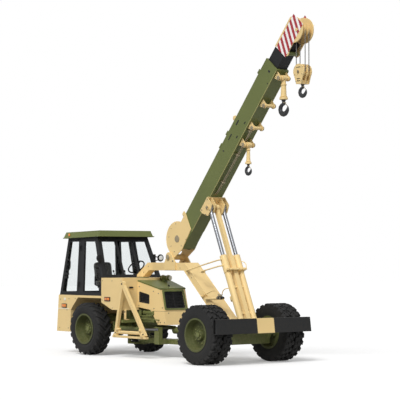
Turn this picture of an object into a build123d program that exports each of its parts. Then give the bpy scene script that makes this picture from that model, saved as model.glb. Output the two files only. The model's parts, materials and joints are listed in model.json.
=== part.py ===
from build123d import *
from math import asin, atan2, cos, degrees, hypot, radians, sin, sqrt
import os

# Articulated pick-and-carry mobile crane, millimetres.
# Working frame: X forward from the front axle, Y to the left, Z up from the ground.
# Saved frame: the same, moved along X so that the origin is under the middle of the machine.
MIDDLE_TO_FRONT_AXLE = 1658.5

# ---- wheels ----
WHEELBASE = 4100
FRONT_TYRE_D = 1186
FRONT_TYRE_W = 240
DUAL_GAP = 14
FRONT_OUTER_Y = 1205
FRONT_RIM_R = 319
REAR_TYRE_D = 1138
REAR_TYRE_W = 370
REAR_OUTER_Y = 978
REAR_RIM_R = 313
RIM_SEAT = 0.3
# depth, length, thickness, slant in degrees and number a side of the tyre's lugs
FRONT_LUGS = (30, 104, 100, 10, 12)
REAR_LUGS = (36, 200, 60, 35, 13)
RIM_DISC = 22
HUB_R = 130
SPINDLE_R = 60
RUN_FIT = 0.05
FRONT_DISH = (150, 60)
REAR_DISH = 190
FRONT_SPINDLE_END = 860
REAR_SPINDLE_END = 760
FRONT_FLANGE_Y = 690
REAR_FLANGE_Y = 590

# ---- articulation between the front and the rear unit ----
PIVOT_X = -3200
PIVOT_PIN_R = 40
PIVOT_GAP = 5
PIVOT_PIN_REACH = 25
DRAWBAR_Z = (290, 390)
DRAWBAR_HALF = 130
DRAWBAR_FLARE_X = (-1500, -1200)
YOKE_LUG = 30
YOKE_HALF = 280
PORTAL_Y = (360, 440)
PORTAL_Z = 1620
UPPER_PIVOT_Z = 1700
UPPER_BOSS_H = 120
UPPER_BOSS_R = 100

# ---- front chassis ----
RAIL_Y = (300, 360)
RAIL_Z = (600, 850)
RAIL_X = (-1250, 605)
FRONT_AXLE_HALF = 110
FRONT_BEAM_X = (-130, 130)
FRONT_BEAM_Z = (375, 640)
TORQUE_TUBE_X = -2150
TORQUE_TUBE_R = 75
TORQUE_TUBE_Z = 580
BUMPER_LENGTH = 2500
BUMPER_Z = (626, 917)
BUMPER_FACE_X = 690
BUMPER_SLANT = 40
BUMPER_POCKET = 120
BUMPER_WALL = 10

# ---- gooseneck and tower ----
GOOSE_HALF = 90
GOOSE_TOP = 2010
GOOSE_DEEP = 165
GOOSE_REAR_X = -3360
GOOSE_FLARE_X = -2800
GOOSE_JOINT_X = -2300
TOWER_HALF = 185
TOWER_HEAD_X = -1600
TOWER_REAR_X = -1620
TOWER_FOOT_X = (-560, -310)
LUG_THICK = 30
LUG_R = 100

# ---- boom, in its own frame: X along the boom, Z square to it, origin on the foot pin ----
FOOT_PIN_X = -2090
FOOT_PIN_Z = 2130
FOOT_PIN_R = 35
BOOM_ANGLE = 50.0
BOOM_LOW = -205
BOOM_DEPTH = 400
BOOM_HALF = 160
BOOM_WALL = 12
BOOM_START = 860
BOOM_END = 4960
FOOT_PLATE = 16
FOOT_TIP_X = 380
FOOT_RISE = 42
WINCH_AT = (445, 61)
WINCH_CHEEK_R = 370
DRUM_R = 170
DRUM_HALF = 150
DRUM_SHAFT_R = 40
INNER_LOW = -170
INNER_DEPTH = 320
INNER_HALF = 130
INNER_WALL = 10
INNER_START = 1300
INNER_END = 5550
PAD_FIT = 0.5
HEAD_PLATE = 18
HEAD_X = (5280, 6020)
HEAD_DISC_AT = (5830, -100)
HEAD_DISC_R = 250
SHEAVE_AT = (5880, -170)
SHEAVE_R = 125
SHEAVE_W = 36
SHEAVE_Y = (-50, 50)
SHEAVE_PIN_R = 32
ROLLER_AT = (5362, -222)
ROLLER_R = 40
HAZARD_Z = (-245, 105)
HAZARD_X = (5280, 6060)
HAZARD_THICK = 4

# ---- luffing cylinders ----
LUFF_BRACKET_X = (1420, 1780)
STRUT_HALF = (54, 40)
ROD_INNER_X = 1125
ROD_PIN_AT = (1620, -350)
BASE_PIN = (270, 680)
CYLINDER_Y = 175
BARREL_R = 65
BARREL_LENGTH = 1600
BORE_START = 200
COLLAR_R = 75
TIE_AT = 1250
ROD_R = 40
EYE_R = 75
EYE_HALF = 40
CYLINDER_PIN_R = 35

# ---- auxiliary hooks under the boom ----
HOOK_PIN_X = (4850, 4180, 3630, 3210)
HOOK_PIN_DROP = 118
HOOK_TUBE_R = 34
HOOK_CHEEK_Y = 105
HOOK_CHEEK_R = 55
# name, place along the boom, pin to the shank's lower end, height of the hook
AUX_HOOKS = (("big", 4850, 422, 335), ("small", 3210, 385, 235))
MAIN_HOOK_SIZE = 270
SWIVEL_DEPTH = 30
ROPE_R = 9
BLOCK_Z = 5717
BLOCK_LOW = 5476
BLOCK_HALF = 110
BLOCK_CHEEK_R = 150

# ---- rear unit ----
CAB_SILL_Z = 1290
CAB_TOP_Z = 2545
CAB_HALF_LOW = 843
CAB_HALF_TOP = 690
CAB_REAR_X = (-5206, -5097)
CAB_FRONT_X = (-3644, -3985)
CAB_WAIST_Z = 1690
CAB_WALL = 45
GLASS = 6
ROOF_THICK = 130
ROOF_RISE = 35
ROOF_X = (-5200, -3856)
DOOR_GAP = 6
DOOR_TOP_GAP = 14
HINGE_Z = (1480, 2280)
HINGE_OUT = 17
HINGE_PIN_R = 7
ROOF_HALF = 745
BODY_HALF = 850
COWL_X = (-3640, -2880)
COWL_Z = (1000, 1680)
COWL_HALF = 840
COWL_STEP = (470, 1400)
PANEL = 20
HOOD_REAR_HALF = 430
HOOD_FRONT_HALF = 320
REAR_RAIL_Y = (300, 360)
REAR_RAIL_Z = (740, 860)
REAR_RAIL_X = (-5200, -2420)
SIDE_FRAME_Y = (-940, -870)
SIDE_FRAME_APEX = (-2770, 1560)
SIDE_FRAME_REAR = (-3010, 470)
SIDE_FRAME_FRONT = (-1990, 470)
SIDE_BAR_Z = 425
FRAME_LUG_Z = (1500, 1600)
SIDE_STAY_X = -2880
CAB_POST_X = (-5120, -3720)
CAB_SLAB = 50
REAR_AXLE_R = 95
AIR_CLEANER_X = (-2860, -2560)
AIR_CLEANER_Y = 200
AIR_CLEANER_Z = 1680
AIR_CLEANER_R = 52
WHEEL_AT = (-4000, 380, 1910)
WHEEL_R = 190
COLUMN_FOOT = (-3720, 1600)
SEAT_Y = 110
# lamps on each side: x, y and z of the lower edge, then length, reach and height
LAMPS = (
    (-3412, 840, 1195, (120, 14, 65)),
    (-5016, 850, 1018, (115, 14, 66)),
)

# ---- steering cylinders, right-hand one ----
STEER_Z = 600
STEER_BASE = (-3480, -560)
STEER_EYE = (-2280, -360)
STEER_BARREL_R = 45
STEER_ROD_R = 24
STEER_BARREL_L = 800
STEER_EYE_H = 50
STEER_PIN_R = 20
STEER_EYE_R = 40
STEER_ROD_INNER = 470

os.makedirs("parts", exist_ok=True)


def block(x, y, z):
    """Box between low and high values along each axis."""
    size = Box(x[1] - x[0], y[1] - y[0], z[1] - z[0])
    return Pos((x[0] + x[1]) / 2, (y[0] + y[1]) / 2, (z[0] + z[1]) / 2) * size


def outline(points, rounding=0):
    face = make_face(Polyline(*points, close=True))
    if rounding:
        face = fillet(face.vertices(), rounding)
    return face


def side_plate(face, y):
    """Outline drawn in X and Z, as thick as the two Y values say."""
    return Pos(0, y[1], 0) * extrude(Plane.XZ * face, y[1] - y[0])


def plan_plate(face, z):
    """Outline drawn in X and Y."""
    return Pos(0, 0, z[0]) * extrude(face, z[1] - z[0])


def cross_plate(face, x):
    """Outline drawn in Y and Z."""
    return Pos(x[0], 0, 0) * extrude(Plane.YZ * face, x[1] - x[0])


def bar(start, end, radius):
    """Round bar between two points."""
    start, end = Vector(*start), Vector(*end)
    along = end - start
    round_bar = Cylinder(radius, along.length, align=(Align.CENTER, Align.CENTER, Align.MIN))
    return Plane(start, z_dir=along) * round_bar


def beam(start, end, width, height):
    """Square-cut bar in the XZ plane, width along Y."""
    (xa, ya, za), (xb, yb, zb) = start, end
    run = hypot(xb - xa, yb - ya, zb - za)
    plane = Plane(Vector(*start), x_dir=Vector(0, 1, 0), z_dir=Vector(*end) - Vector(*start))
    return plane * Box(width, height, run, align=(Align.CENTER, Align.CENTER, Align.MIN))


def pin_y(x, z, radius, y):
    """Round bar along Y."""
    return bar((x, y[0], z), (x, y[1], z), radius)


def post(at, radius, z):
    """Round bar along Z."""
    return bar((at[0], at[1], z[0]), (at[0], at[1], z[1]), radius)


def both_sides(shape):
    return shape + mirror(shape, about=Plane.XZ)


def save(name, shape):
    export_step(Pos(MIDDLE_TO_FRONT_AXLE, 0, 0) * shape, f"parts/{name}.step")


# ------------------------------------------------------------------ wheels

def drum(sides, sections):
    """Many-sided drum about X, a side at its top, through sections of place and radius."""
    rings = []
    for x, radius in sections:
        ring = RegularPolygon(radius, sides, major_radius=False, rotation=180 / sides)
        rings.append(Pos(x, 0, 0) * (Plane.YZ * ring))
    return loft(rings, ruled=True)


def tyre(diameter, width, rim_radius, lugs):
    """Lugged tyre about X, from its outer face at x = 0 inwards, a lug's corner at its lowest point."""
    radius = diameter / 2
    depth, length, thick, slant, count = lugs
    base = radius - depth
    lean = radians(slant)
    round_reach = length / 2 * sin(lean) + thick / 2 * cos(lean)
    side_reach = length / 2 * cos(lean) + thick / 2 * sin(lean)
    flat = sqrt(radius ** 2 - round_reach ** 2)
    sides = 2 * count
    casing = drum(sides, [
        (0, 0.74 * radius), (0.09 * width, base), (0.91 * width, base), (width, 0.74 * radius),
    ])
    casing -= drum(sides, [(-1, rim_radius), (width + 1, rim_radius)])
    casing -= drum(sides, [(-1, 0.75 * radius), (0.12 * width, rim_radius)])
    casing -= drum(sides, [(0.88 * width, rim_radius), (width + 1, 0.75 * radius)])
    low = 0.9 * base
    bars = []
    for way in (-1, 1):
        place = Pos(width / 2 + way * (0.495 * width - side_reach), 0, (flat + low) / 2)
        bar_at = place * Rot(0, 0, way * slant) * Box(length, thick, flat - low)
        for turn in range(count):
            bars.append(Rot(360 * (turn + way / 4) / count, 0, 0) * bar_at)
    lowest = 90 / count - degrees(asin(round_reach / radius))
    return Rot(lowest, 0, 0) * (Rot(90 / count, 0, 0) * casing + bars)


def rim(width, rim_radius, dish):
    """Deep dished rim about X, seated in the tyre, its disc at depth dish from the outer face."""
    bead = rim_radius - RIM_SEAT
    shell = [
        (0.02 * width, bead + 18),
        (0.02 * width, bead - 14),
        (0.30 * width, bead - 34),
        (dish, bead - 60),
        (dish, HUB_R),
        (dish - 70, HUB_R - 25),
        (dish - 70, 0),
        (dish + RIM_DISC + 40, 0),
        (dish + RIM_DISC + 40, SPINDLE_R + 40),
        (dish + RIM_DISC, SPINDLE_R + 60),
        (dish + RIM_DISC, bead - 60),
        (0.98 * width, bead - 20),
        (0.98 * width, bead + 18),
        (0.96 * width, bead + 18),
        (0.88 * width, bead),
        (0.12 * width, bead),
        (0.04 * width, bead + 18),
    ]
    return revolve(outline(shell), Axis.X)


def on_axle(shape, x, z, outer_y, side):
    """Turns a wheel piece from the X axis to the Y axis, outer face at outer_y on that side."""
    turned = Rot(0, 0, 90) * shape
    if side > 0:
        turned = mirror(turned, about=Plane.XZ)
    return Pos(x, side * outer_y, z) * turned


def front_wheel(side):
    radius = FRONT_TYRE_D / 2
    tyres, rims = Part(), Part()
    inner_y = FRONT_OUTER_Y - FRONT_TYRE_W - DUAL_GAP
    for outer_y, dish in ((FRONT_OUTER_Y, FRONT_DISH[0]), (inner_y, FRONT_DISH[1])):
        tyres += on_axle(tyre(FRONT_TYRE_D, FRONT_TYRE_W, FRONT_RIM_R, FRONT_LUGS), 0, radius, outer_y, side)
        rims += on_axle(rim(FRONT_TYRE_W, FRONT_RIM_R, dish), 0, radius, outer_y, side)
    hub_y = sorted((side * (FRONT_OUTER_Y - FRONT_DISH[0]), side * (inner_y - FRONT_DISH[1])))
    rims += pin_y(0, radius, SPINDLE_R + 40, hub_y)
    bore_y = sorted((side * (FRONT_SPINDLE_END + 5), side * (inner_y - FRONT_TYRE_W)))
    return tyres, rims - pin_y(0, radius, SPINDLE_R + RUN_FIT, bore_y)


def rear_wheel(side):
    radius = REAR_TYRE_D / 2
    lugged = tyre(REAR_TYRE_D, REAR_TYRE_W, REAR_RIM_R, REAR_LUGS)
    tyre_ring = on_axle(lugged, -WHEELBASE, radius, REAR_OUTER_Y, side)
    dished = on_axle(rim(REAR_TYRE_W, REAR_RIM_R, REAR_DISH), -WHEELBASE, radius, REAR_OUTER_Y, side)
    bore_y = sorted((side * (REAR_SPINDLE_END + 5), side * (REAR_OUTER_Y - REAR_TYRE_W)))
    return tyre_ring, dished - pin_y(-WHEELBASE, radius, SPINDLE_R + RUN_FIT, bore_y)


def axle(x, radius, spindle_end, flange_y, housing_r, bulge_r):
    """Rigid axle along Y: spindles, drum flanges, tube and a round differential."""
    housing = pin_y(x, radius, SPINDLE_R, (-spindle_end, spindle_end))
    housing += both_sides(pin_y(x, radius, 150, (flange_y - 45, flange_y)))
    housing += pin_y(x, radius, housing_r, (-flange_y + 20, flange_y - 20))
    bulge = revolve(outline([
        (-150, 0), (-95, bulge_r - 40), (-40, bulge_r), (40, bulge_r), (95, bulge_r - 40), (150, 0),
    ]), Axis.X)
    return housing + Pos(x, 0, radius) * Rot(0, 0, 90) * bulge


for side, name in ((-1, "right"), (1, "left")):
    tyres, rims = front_wheel(side)
    save(f"front_tyres_{name}", tyres)
    save(f"front_rims_{name}", rims)
    tyres, rims = rear_wheel(side)
    save(f"rear_tyre_{name}", tyres)
    save(f"rear_rim_{name}", rims)


# ------------------------------------------------------------------ front unit

def front_chassis():
    frame = both_sides(block(RAIL_X, RAIL_Y, RAIL_Z))
    foot = (TOWER_FOOT_X[0] - 20, TOWER_FOOT_X[1] + 20)
    for x in ((RAIL_X[0], RAIL_X[0] + 90), foot, (RAIL_X[1] - 30, RAIL_X[1])):
        frame += block(x, (-RAIL_Y[0], RAIL_Y[0]), RAIL_Z)
    frame += block((RAIL_X[0] + 60, RAIL_X[0] + 390), (-RAIL_Y[1], RAIL_Y[1]), (DRAWBAR_Z[1], RAIL_Z[0]))
    # drawbar under the rear unit, flared to the rails
    half, wide, flare = DRAWBAR_HALF, RAIL_Y[1], DRAWBAR_FLARE_X
    end_x = RAIL_X[0] + 390
    frame += plan_plate(outline([
        (PIVOT_X, -half), (flare[0], -half), (flare[1], -wide), (end_x, -wide),
        (end_x, wide), (flare[1], wide), (flare[0], half), (PIVOT_X, half),
    ]), DRAWBAR_Z)
    frame += Pos(PIVOT_X, 0, sum(DRAWBAR_Z) / 2) * Cylinder(half, DRAWBAR_Z[1] - DRAWBAR_Z[0])
    # steering arms: an open fork for the eye of each cylinder
    eye_x, eye_y = STEER_EYE[0], -STEER_EYE[1]
    low, high = STEER_Z - STEER_EYE_H / 2 - 5, STEER_Z + STEER_EYE_H / 2 + 5
    x, y = (eye_x - 55, eye_x + 105), (eye_y - 50, eye_y + 45)
    fork = block(x, (half - 10, y[1]), DRAWBAR_Z)
    fork += block(x, y, (DRAWBAR_Z[1], low))
    fork += block((x[1] - 15, x[1]), y, (DRAWBAR_Z[1], high + 20))
    fork += block(x, y, (high, high + 20))
    frame += both_sides(fork)
    # torque tube above the drawbar
    frame += bar((TORQUE_TUBE_X, 0, TORQUE_TUBE_Z), (RAIL_X[0] + 60, 0, TORQUE_TUBE_Z), TORQUE_TUBE_R)
    frame += block((TORQUE_TUBE_X + 350, TORQUE_TUBE_X + 410), (-40, 40), (DRAWBAR_Z[1], TORQUE_TUBE_Z))
    # saddles down onto the axle
    saddle = block((-FRONT_AXLE_HALF, FRONT_AXLE_HALF), RAIL_Y, (FRONT_TYRE_D / 2, RAIL_Z[0]))
    frame += both_sides(saddle)
    frame += pin_y(BASE_PIN[0], BASE_PIN[1], CYLINDER_PIN_R, (-RAIL_Y[1] - 20, RAIL_Y[1] + 20))
    bore = Pos(PIVOT_X, 0, sum(DRAWBAR_Z) / 2) * Cylinder(PIVOT_PIN_R + RUN_FIT, 400)
    return frame - bore


def tower():
    """Leaning box tower with the foot pin's lugs at its head."""
    head_x = (GOOSE_JOINT_X, TOWER_HEAD_X)
    face = outline([
        (head_x[0], GOOSE_TOP), (head_x[0], GOOSE_TOP - GOOSE_DEEP), (TOWER_REAR_X, GOOSE_TOP - GOOSE_DEEP),
        (TOWER_FOOT_X[0], RAIL_Z[1]), (TOWER_FOOT_X[1], RAIL_Z[1]), (head_x[1], GOOSE_TOP),
    ])
    column = side_plate(face, (-TOWER_HALF, TOWER_HALF))
    low = GOOSE_TOP - GOOSE_DEEP + 10
    lug = outline([
        (FOOT_PIN_X - 150, low), (FOOT_PIN_X + 220, low), (FOOT_PIN_X + 220, GOOSE_TOP),
        (FOOT_PIN_X + 80, FOOT_PIN_Z + 60), (FOOT_PIN_X, FOOT_PIN_Z),
        (FOOT_PIN_X - 96, FOOT_PIN_Z - 30), (FOOT_PIN_X - 150, GOOSE_TOP),
    ])
    lug += Pos(FOOT_PIN_X, FOOT_PIN_Z) * Circle(LUG_R)
    column += both_sides(side_plate(lug, (TOWER_HALF, TOWER_HALF + LUG_THICK)))
    reach = TOWER_HALF + LUG_THICK + 25
    return column + pin_y(FOOT_PIN_X, FOOT_PIN_Z, FOOT_PIN_R, (-reach, reach))


def gooseneck():
    """Arm from the upper steering pivot over the hood to the head of the tower."""
    under = GOOSE_TOP - GOOSE_DEEP
    face = outline([
        (GOOSE_REAR_X, UPPER_PIVOT_Z), (PIVOT_X + 60, UPPER_PIVOT_Z), (PIVOT_X + 265, under),
        (GOOSE_JOINT_X, under), (GOOSE_JOINT_X, GOOSE_TOP), (PIVOT_X + 225, GOOSE_TOP),
        (GOOSE_REAR_X, UPPER_PIVOT_Z + 40),
    ])
    arm = side_plate(face, (-TOWER_HALF, TOWER_HALF))
    plan = outline([
        (GOOSE_REAR_X, -GOOSE_HALF), (GOOSE_FLARE_X, -GOOSE_HALF), (GOOSE_JOINT_X, -TOWER_HALF),
        (GOOSE_JOINT_X, TOWER_HALF), (GOOSE_FLARE_X, GOOSE_HALF), (GOOSE_REAR_X, GOOSE_HALF),
    ])
    arm &= plan_plate(plan, (UPPER_PIVOT_Z, GOOSE_TOP))
    arm += post((PIVOT_X, 0), UPPER_BOSS_R, (UPPER_PIVOT_Z, UPPER_PIVOT_Z + UPPER_BOSS_H))
    bore_z = (UPPER_PIVOT_Z - 1, UPPER_PIVOT_Z + PIVOT_PIN_REACH + 5)
    return arm - post((PIVOT_X, 0), PIVOT_PIN_R + RUN_FIT, bore_z)


def bumper():
    face = outline([
        (RAIL_X[1], BUMPER_Z[1]), (BUMPER_FACE_X, BUMPER_Z[1]),
        (BUMPER_FACE_X + BUMPER_SLANT, BUMPER_Z[0]), (RAIL_X[1], BUMPER_Z[0]),
    ])
    half, wall = BUMPER_LENGTH / 2, BUMPER_WALL
    beam_x = (RAIL_X[1] + wall, BUMPER_FACE_X - wall)
    pocket = block(beam_x, (half - BUMPER_POCKET, half + 1), (BUMPER_Z[0] + wall, BUMPER_Z[1] - wall))
    return side_plate(face, (-half, half)) - both_sides(pocket)


def front_axle_beam():
    """Box beam between the drum flanges, with the spindles."""
    radius = FRONT_TYRE_D / 2
    x, z = FRONT_BEAM_X, FRONT_BEAM_Z
    section = outline([(x[0], z[0]), (x[1], z[0]), (x[1], z[1]), (x[0], z[1])], 25)
    housing = side_plate(section, (-FRONT_FLANGE_Y + 40, FRONT_FLANGE_Y - 40))
    housing += pin_y(0, radius, SPINDLE_R, (-FRONT_SPINDLE_END, FRONT_SPINDLE_END))
    return housing + both_sides(pin_y(0, radius, 150, (FRONT_FLANGE_Y - 45, FRONT_FLANGE_Y)))


chassis = front_chassis()
front_axle = front_axle_beam()
save("front_chassis", chassis)
save("front_axle", front_axle - chassis)
save("tower", tower())
save("gooseneck", gooseneck())
save("bumper", bumper())


# ------------------------------------------------------------------ boom

FOOT = Location((FOOT_PIN_X, 0, FOOT_PIN_Z), (0, -BOOM_ANGLE, 0))
UNDER = BOOM_LOW
TOP = BOOM_LOW + BOOM_DEPTH


def boom_point(x, z):
    """A point given along and square to the boom, in the machine's X and Z."""
    a = radians(BOOM_ANGLE)
    return FOOT_PIN_X + x * cos(a) - z * sin(a), FOOT_PIN_Z + x * sin(a) + z * cos(a)


def box_tube(x, half, z, wall):
    outer = block(x, (-half, half), z)
    return outer - block((x[0] - 1, x[1] + 1), (wall - half, half - wall), (z[0] + wall, z[1] - wall))


def outer_boom():
    boom = box_tube((BOOM_START, BOOM_END), BOOM_HALF, (UNDER, TOP), BOOM_WALL)
    # open trough under the winch, down to the foot
    boom += block((FOOT_TIP_X + 10, BOOM_START + 1), (-BOOM_HALF, BOOM_HALF), (UNDER, UNDER + 16))
    web = outline([
        (FOOT_TIP_X + 10, UNDER), (BOOM_START + 1, UNDER), (BOOM_START + 1, UNDER + 60), (FOOT_TIP_X + 150, UNDER + 30),
    ])
    boom += both_sides(side_plate(web, (BOOM_HALF - 8, BOOM_HALF)))
    pads = block((BOOM_END - 70, BOOM_END), (-BOOM_HALF, BOOM_HALF), (UNDER, TOP))
    fit = PAD_FIT
    inner_z = (INNER_LOW - fit, INNER_LOW + INNER_DEPTH + fit)
    return boom + pads - block((BOOM_END - 80, BOOM_END + 1), (-INNER_HALF - fit, INNER_HALF + fit), inner_z)


def boom_foot():
    """Two cheeks that hold the foot pin and the winch, tied by the pin's tube."""
    edge = (WINCH_AT[0] - WINCH_CHEEK_R - 5, WINCH_AT[1] + WINCH_CHEEK_R + 5)
    clip = outline([
        (edge[0], -118), (FOOT_TIP_X, UNDER), (BOOM_START + 20, UNDER + FOOT_RISE), (BOOM_START + 20, edge[1]),
        edge,
    ])
    face = (Pos(*WINCH_AT) * Circle(WINCH_CHEEK_R)) & clip
    face += outline([
        (-30, -LUG_R + 10), (FOOT_TIP_X, UNDER), (BOOM_START + 20, UNDER + FOOT_RISE), (BOOM_START + 170, TOP),
        (BOOM_START + 170, TOP + 70), (BOOM_START + 90, TOP + 70), (BOOM_START + 70, TOP),
        (WINCH_AT[0] + 345, TOP), (WINCH_AT[0], WINCH_AT[1]), (20, LUG_R - 12),
    ])
    face += Circle(LUG_R - 5)
    foot = both_sides(side_plate(face, (BOOM_HALF, BOOM_HALF + FOOT_PLATE)))
    foot += pin_y(0, 0, FOOT_PIN_R + 25, (-BOOM_HALF, BOOM_HALF))
    foot -= pin_y(0, 0, FOOT_PIN_R + RUN_FIT, (-BOOM_HALF - 50, BOOM_HALF + 50))
    return foot - pin_y(*WINCH_AT, DRUM_SHAFT_R + RUN_FIT, (-BOOM_HALF - 50, BOOM_HALF + 50))


def winch_drum():
    drum = pin_y(*WINCH_AT, DRUM_R, (-DRUM_HALF, DRUM_HALF))
    drum += both_sides(pin_y(*WINCH_AT, DRUM_R + 55, (DRUM_HALF - 14, DRUM_HALF)))
    return drum + pin_y(*WINCH_AT, DRUM_SHAFT_R, (-BOOM_HALF - 20, BOOM_HALF + 20))


def boom_brackets():
    """Bracket of the luffing cylinders and the four hook brackets, all under the boom."""
    x0, x1 = LUFF_BRACKET_X
    plate_z = (UNDER - 16, UNDER)
    cheek = outline([
        (x0, plate_z[0]), (x1, plate_z[0]), (x1 - 35, UNDER - 215), (x1 - 175, UNDER - 265),
        (x0 + 70, UNDER - 265), (x0, UNDER - 90),
    ])
    outer_y = CYLINDER_Y + EYE_HALF + 6
    inner_y = CYLINDER_Y - EYE_HALF - 6
    brackets = block((x0, x1), (-outer_y - 16, outer_y + 16), plate_z)
    for y in ((outer_y, outer_y + 16), (inner_y - 16, inner_y)):
        brackets += both_sides(side_plate(cheek, y))
    brackets += both_sides(pin_y(*ROD_PIN_AT, CYLINDER_PIN_R + 15, (outer_y + 16, outer_y + 30)))
    pin_z = UNDER - HOOK_PIN_DROP
    for x in HOOK_PIN_X:
        cheek = outline([(x - 95, UNDER), (x + 70, UNDER), (x + 50, pin_z), (x - 50, pin_z)])
        cheek += Pos(x, pin_z) * Circle(HOOK_CHEEK_R)
        brackets += both_sides(side_plate(cheek, (HOOK_CHEEK_Y, HOOK_CHEEK_Y + 16)))
        brackets += pin_y(x, pin_z, HOOK_TUBE_R, (-HOOK_CHEEK_Y - 40, HOOK_CHEEK_Y + 40))
    return brackets


def inner_boom():
    return box_tube((INNER_START, INNER_END), INNER_HALF, (INNER_LOW, INNER_LOW + INNER_DEPTH), INNER_WALL)


def boom_head():
    x, z = HEAD_X, (HAZARD_Z[0], INNER_LOW + INNER_DEPTH)
    face = outline([
        (x[0], z[0] + 70), (x[0] + 60, z[0]), (x[1], z[0]), (x[1], z[1] - 60), (x[1] - 60, z[1]), (x[0], z[1]),
    ])
    face += Pos(*HEAD_DISC_AT) * Circle(HEAD_DISC_R)
    face += Pos(*ROLLER_AT) * Circle(ROLLER_R + 15)
    head = both_sides(side_plate(face, (INNER_HALF, INNER_HALF + HEAD_PLATE)))
    head += pin_y(*SHEAVE_AT, SHEAVE_PIN_R, (-INNER_HALF - HEAD_PLATE - 20, INNER_HALF + HEAD_PLATE + 20))
    return head


def head_sheaves():
    sheaves = Part()
    for y in SHEAVE_Y:
        rim_half = SHEAVE_W / 2
        low, high = SHEAVE_PIN_R + RUN_FIT, SHEAVE_R + 16
        groove = outline([
            (y - rim_half, low), (y - rim_half, high), (y - rim_half + 6, high), (y - 10, SHEAVE_R - ROPE_R - 0.3),
            (y + 10, SHEAVE_R - ROPE_R - 0.3), (y + rim_half - 6, high), (y + rim_half, high), (y + rim_half, low),
        ])
        sheaves += revolve(groove, Axis.X)
    return Pos(SHEAVE_AT[0], 0, SHEAVE_AT[1]) * Rot(0, 0, 90) * sheaves


def hazard_plates():
    y0 = INNER_HALF + HEAD_PLATE
    return both_sides(block(HAZARD_X, (y0, y0 + HAZARD_THICK), HAZARD_Z)) - boom_head()


def rope_roller():
    return pin_y(*ROLLER_AT, ROLLER_R, (-INNER_HALF, INNER_HALF))


save("boom_outer", FOOT * outer_boom())
save("boom_foot", FOOT * boom_foot())
save("winch_drum", FOOT * winch_drum())
save("boom_brackets", FOOT * boom_brackets())
save("boom_inner", FOOT * inner_boom())
save("boom_head", FOOT * boom_head())
save("head_sheaves", FOOT * head_sheaves())
save("hazard_plates", FOOT * hazard_plates())
save("rope_roller", FOOT * rope_roller())


# ------------------------------------------------------------------ luffing cylinders

EYE_XZ = boom_point(*ROD_PIN_AT)
CYLINDER_RUN = hypot(EYE_XZ[0] - BASE_PIN[0], EYE_XZ[1] - BASE_PIN[1])
CYLINDER_ANGLE = degrees(atan2(EYE_XZ[1] - BASE_PIN[1], EYE_XZ[0] - BASE_PIN[0]))
CYLINDER = Location((BASE_PIN[0], 0, BASE_PIN[1]), (0, -CYLINDER_ANGLE, 0))


def eye(x, y, radius, half, bore):
    return pin_y(x, 0, radius, (y - half, y + half)) - pin_y(x, 0, bore, (y - half - 1, y + half + 1))


def lift_barrels():
    """Both barrels and the strut's lower tube, along X from the base pin."""
    barrels = Part()
    bore = CYLINDER_PIN_R + RUN_FIT
    for y in (-CYLINDER_Y, CYLINDER_Y):
        barrels += bar((EYE_R - 20, y, 0), (BARREL_LENGTH, y, 0), BARREL_R)
        barrels += bar((TIE_AT - 15, y, 0), (BARREL_LENGTH, y, 0), COLLAR_R)
        barrels += pin_y(0, 0, EYE_R, (y - EYE_HALF, y + EYE_HALF))
    half = STRUT_HALF[0]
    barrels += block((EYE_R - 20, BARREL_LENGTH), (-half, half), (-half, half))
    barrels += pin_y(0, 0, EYE_R, (-half, half))
    for x in (330, 900):
        barrels += both_sides(block((x, x + 40), (half - 5, CYLINDER_Y - BARREL_R + 10), (-20, 20)))
    reach = CYLINDER_Y + COLLAR_R
    barrels += block((TIE_AT, TIE_AT + 40), (-reach, reach), (-125, -half + 5))
    for y in (-CYLINDER_Y, CYLINDER_Y):
        barrels -= bar((BORE_START, y, 0), (BARREL_LENGTH + 1, y, 0), ROD_R + RUN_FIT)
    hollow = STRUT_HALF[1] + RUN_FIT
    barrels -= block((BORE_START, BARREL_LENGTH + 1), (-hollow, hollow), (-hollow, hollow))
    return barrels - pin_y(0, 0, bore, (-400, 400))


def lift_rods():
    rods = Part()
    for y in (-CYLINDER_Y, CYLINDER_Y):
        rods += bar((ROD_INNER_X, y, 0), (CYLINDER_RUN - EYE_R + 15, y, 0), ROD_R)
        rods += eye(CYLINDER_RUN, y, EYE_R, EYE_HALF, CYLINDER_PIN_R + 5)
    return rods


def strut_tube():
    half = STRUT_HALF[1]
    tube = block((ROD_INNER_X, CYLINDER_RUN - EYE_R + 15), (-half, half), (-half, half))
    return tube + eye(CYLINDER_RUN, 0, EYE_R - 10, half, CYLINDER_PIN_R + 5)


save("lift_barrels", CYLINDER * lift_barrels())
save("lift_rods", CYLINDER * lift_rods())
save("strut_tube", CYLINDER * strut_tube())


# ------------------------------------------------------------------ hooks, hanging plumb

def hook(x, top, size):
    """Round-section hook in the XZ plane; its neck turns in the shank above."""
    ring, thick, neck = 0.31 * size, 0.1 * size, 0.1 * size
    middle = top - 0.28 * size - ring
    bowl = Rot(0, -90, 0) * Rot(90, 0, 0) * Torus(ring, thick, major_angle=245)
    tip = radians(90 + 245)
    bowl += Pos(ring * cos(tip), 0, ring * sin(tip)) * Sphere(thick)
    return Pos(x, 0, middle) * bowl + post((x, 0), neck, (middle + ring, top + SWIVEL_DEPTH))


def swivel_bore(x, top, size):
    return post((x, 0), 0.1 * size + RUN_FIT, (top - 60, top + SWIVEL_DEPTH + 0.3))


def sheave_xz():
    return boom_point(*SHEAVE_AT)


def hoist_ropes():
    x, z = sheave_xz()
    ropes = Part()
    for y in SHEAVE_Y:
        for way in (-1, 1):
            ropes += bar((x + way * SHEAVE_R, y, z), (x + way * SHEAVE_R, y, BLOCK_Z), ROPE_R)
    return ropes


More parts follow.
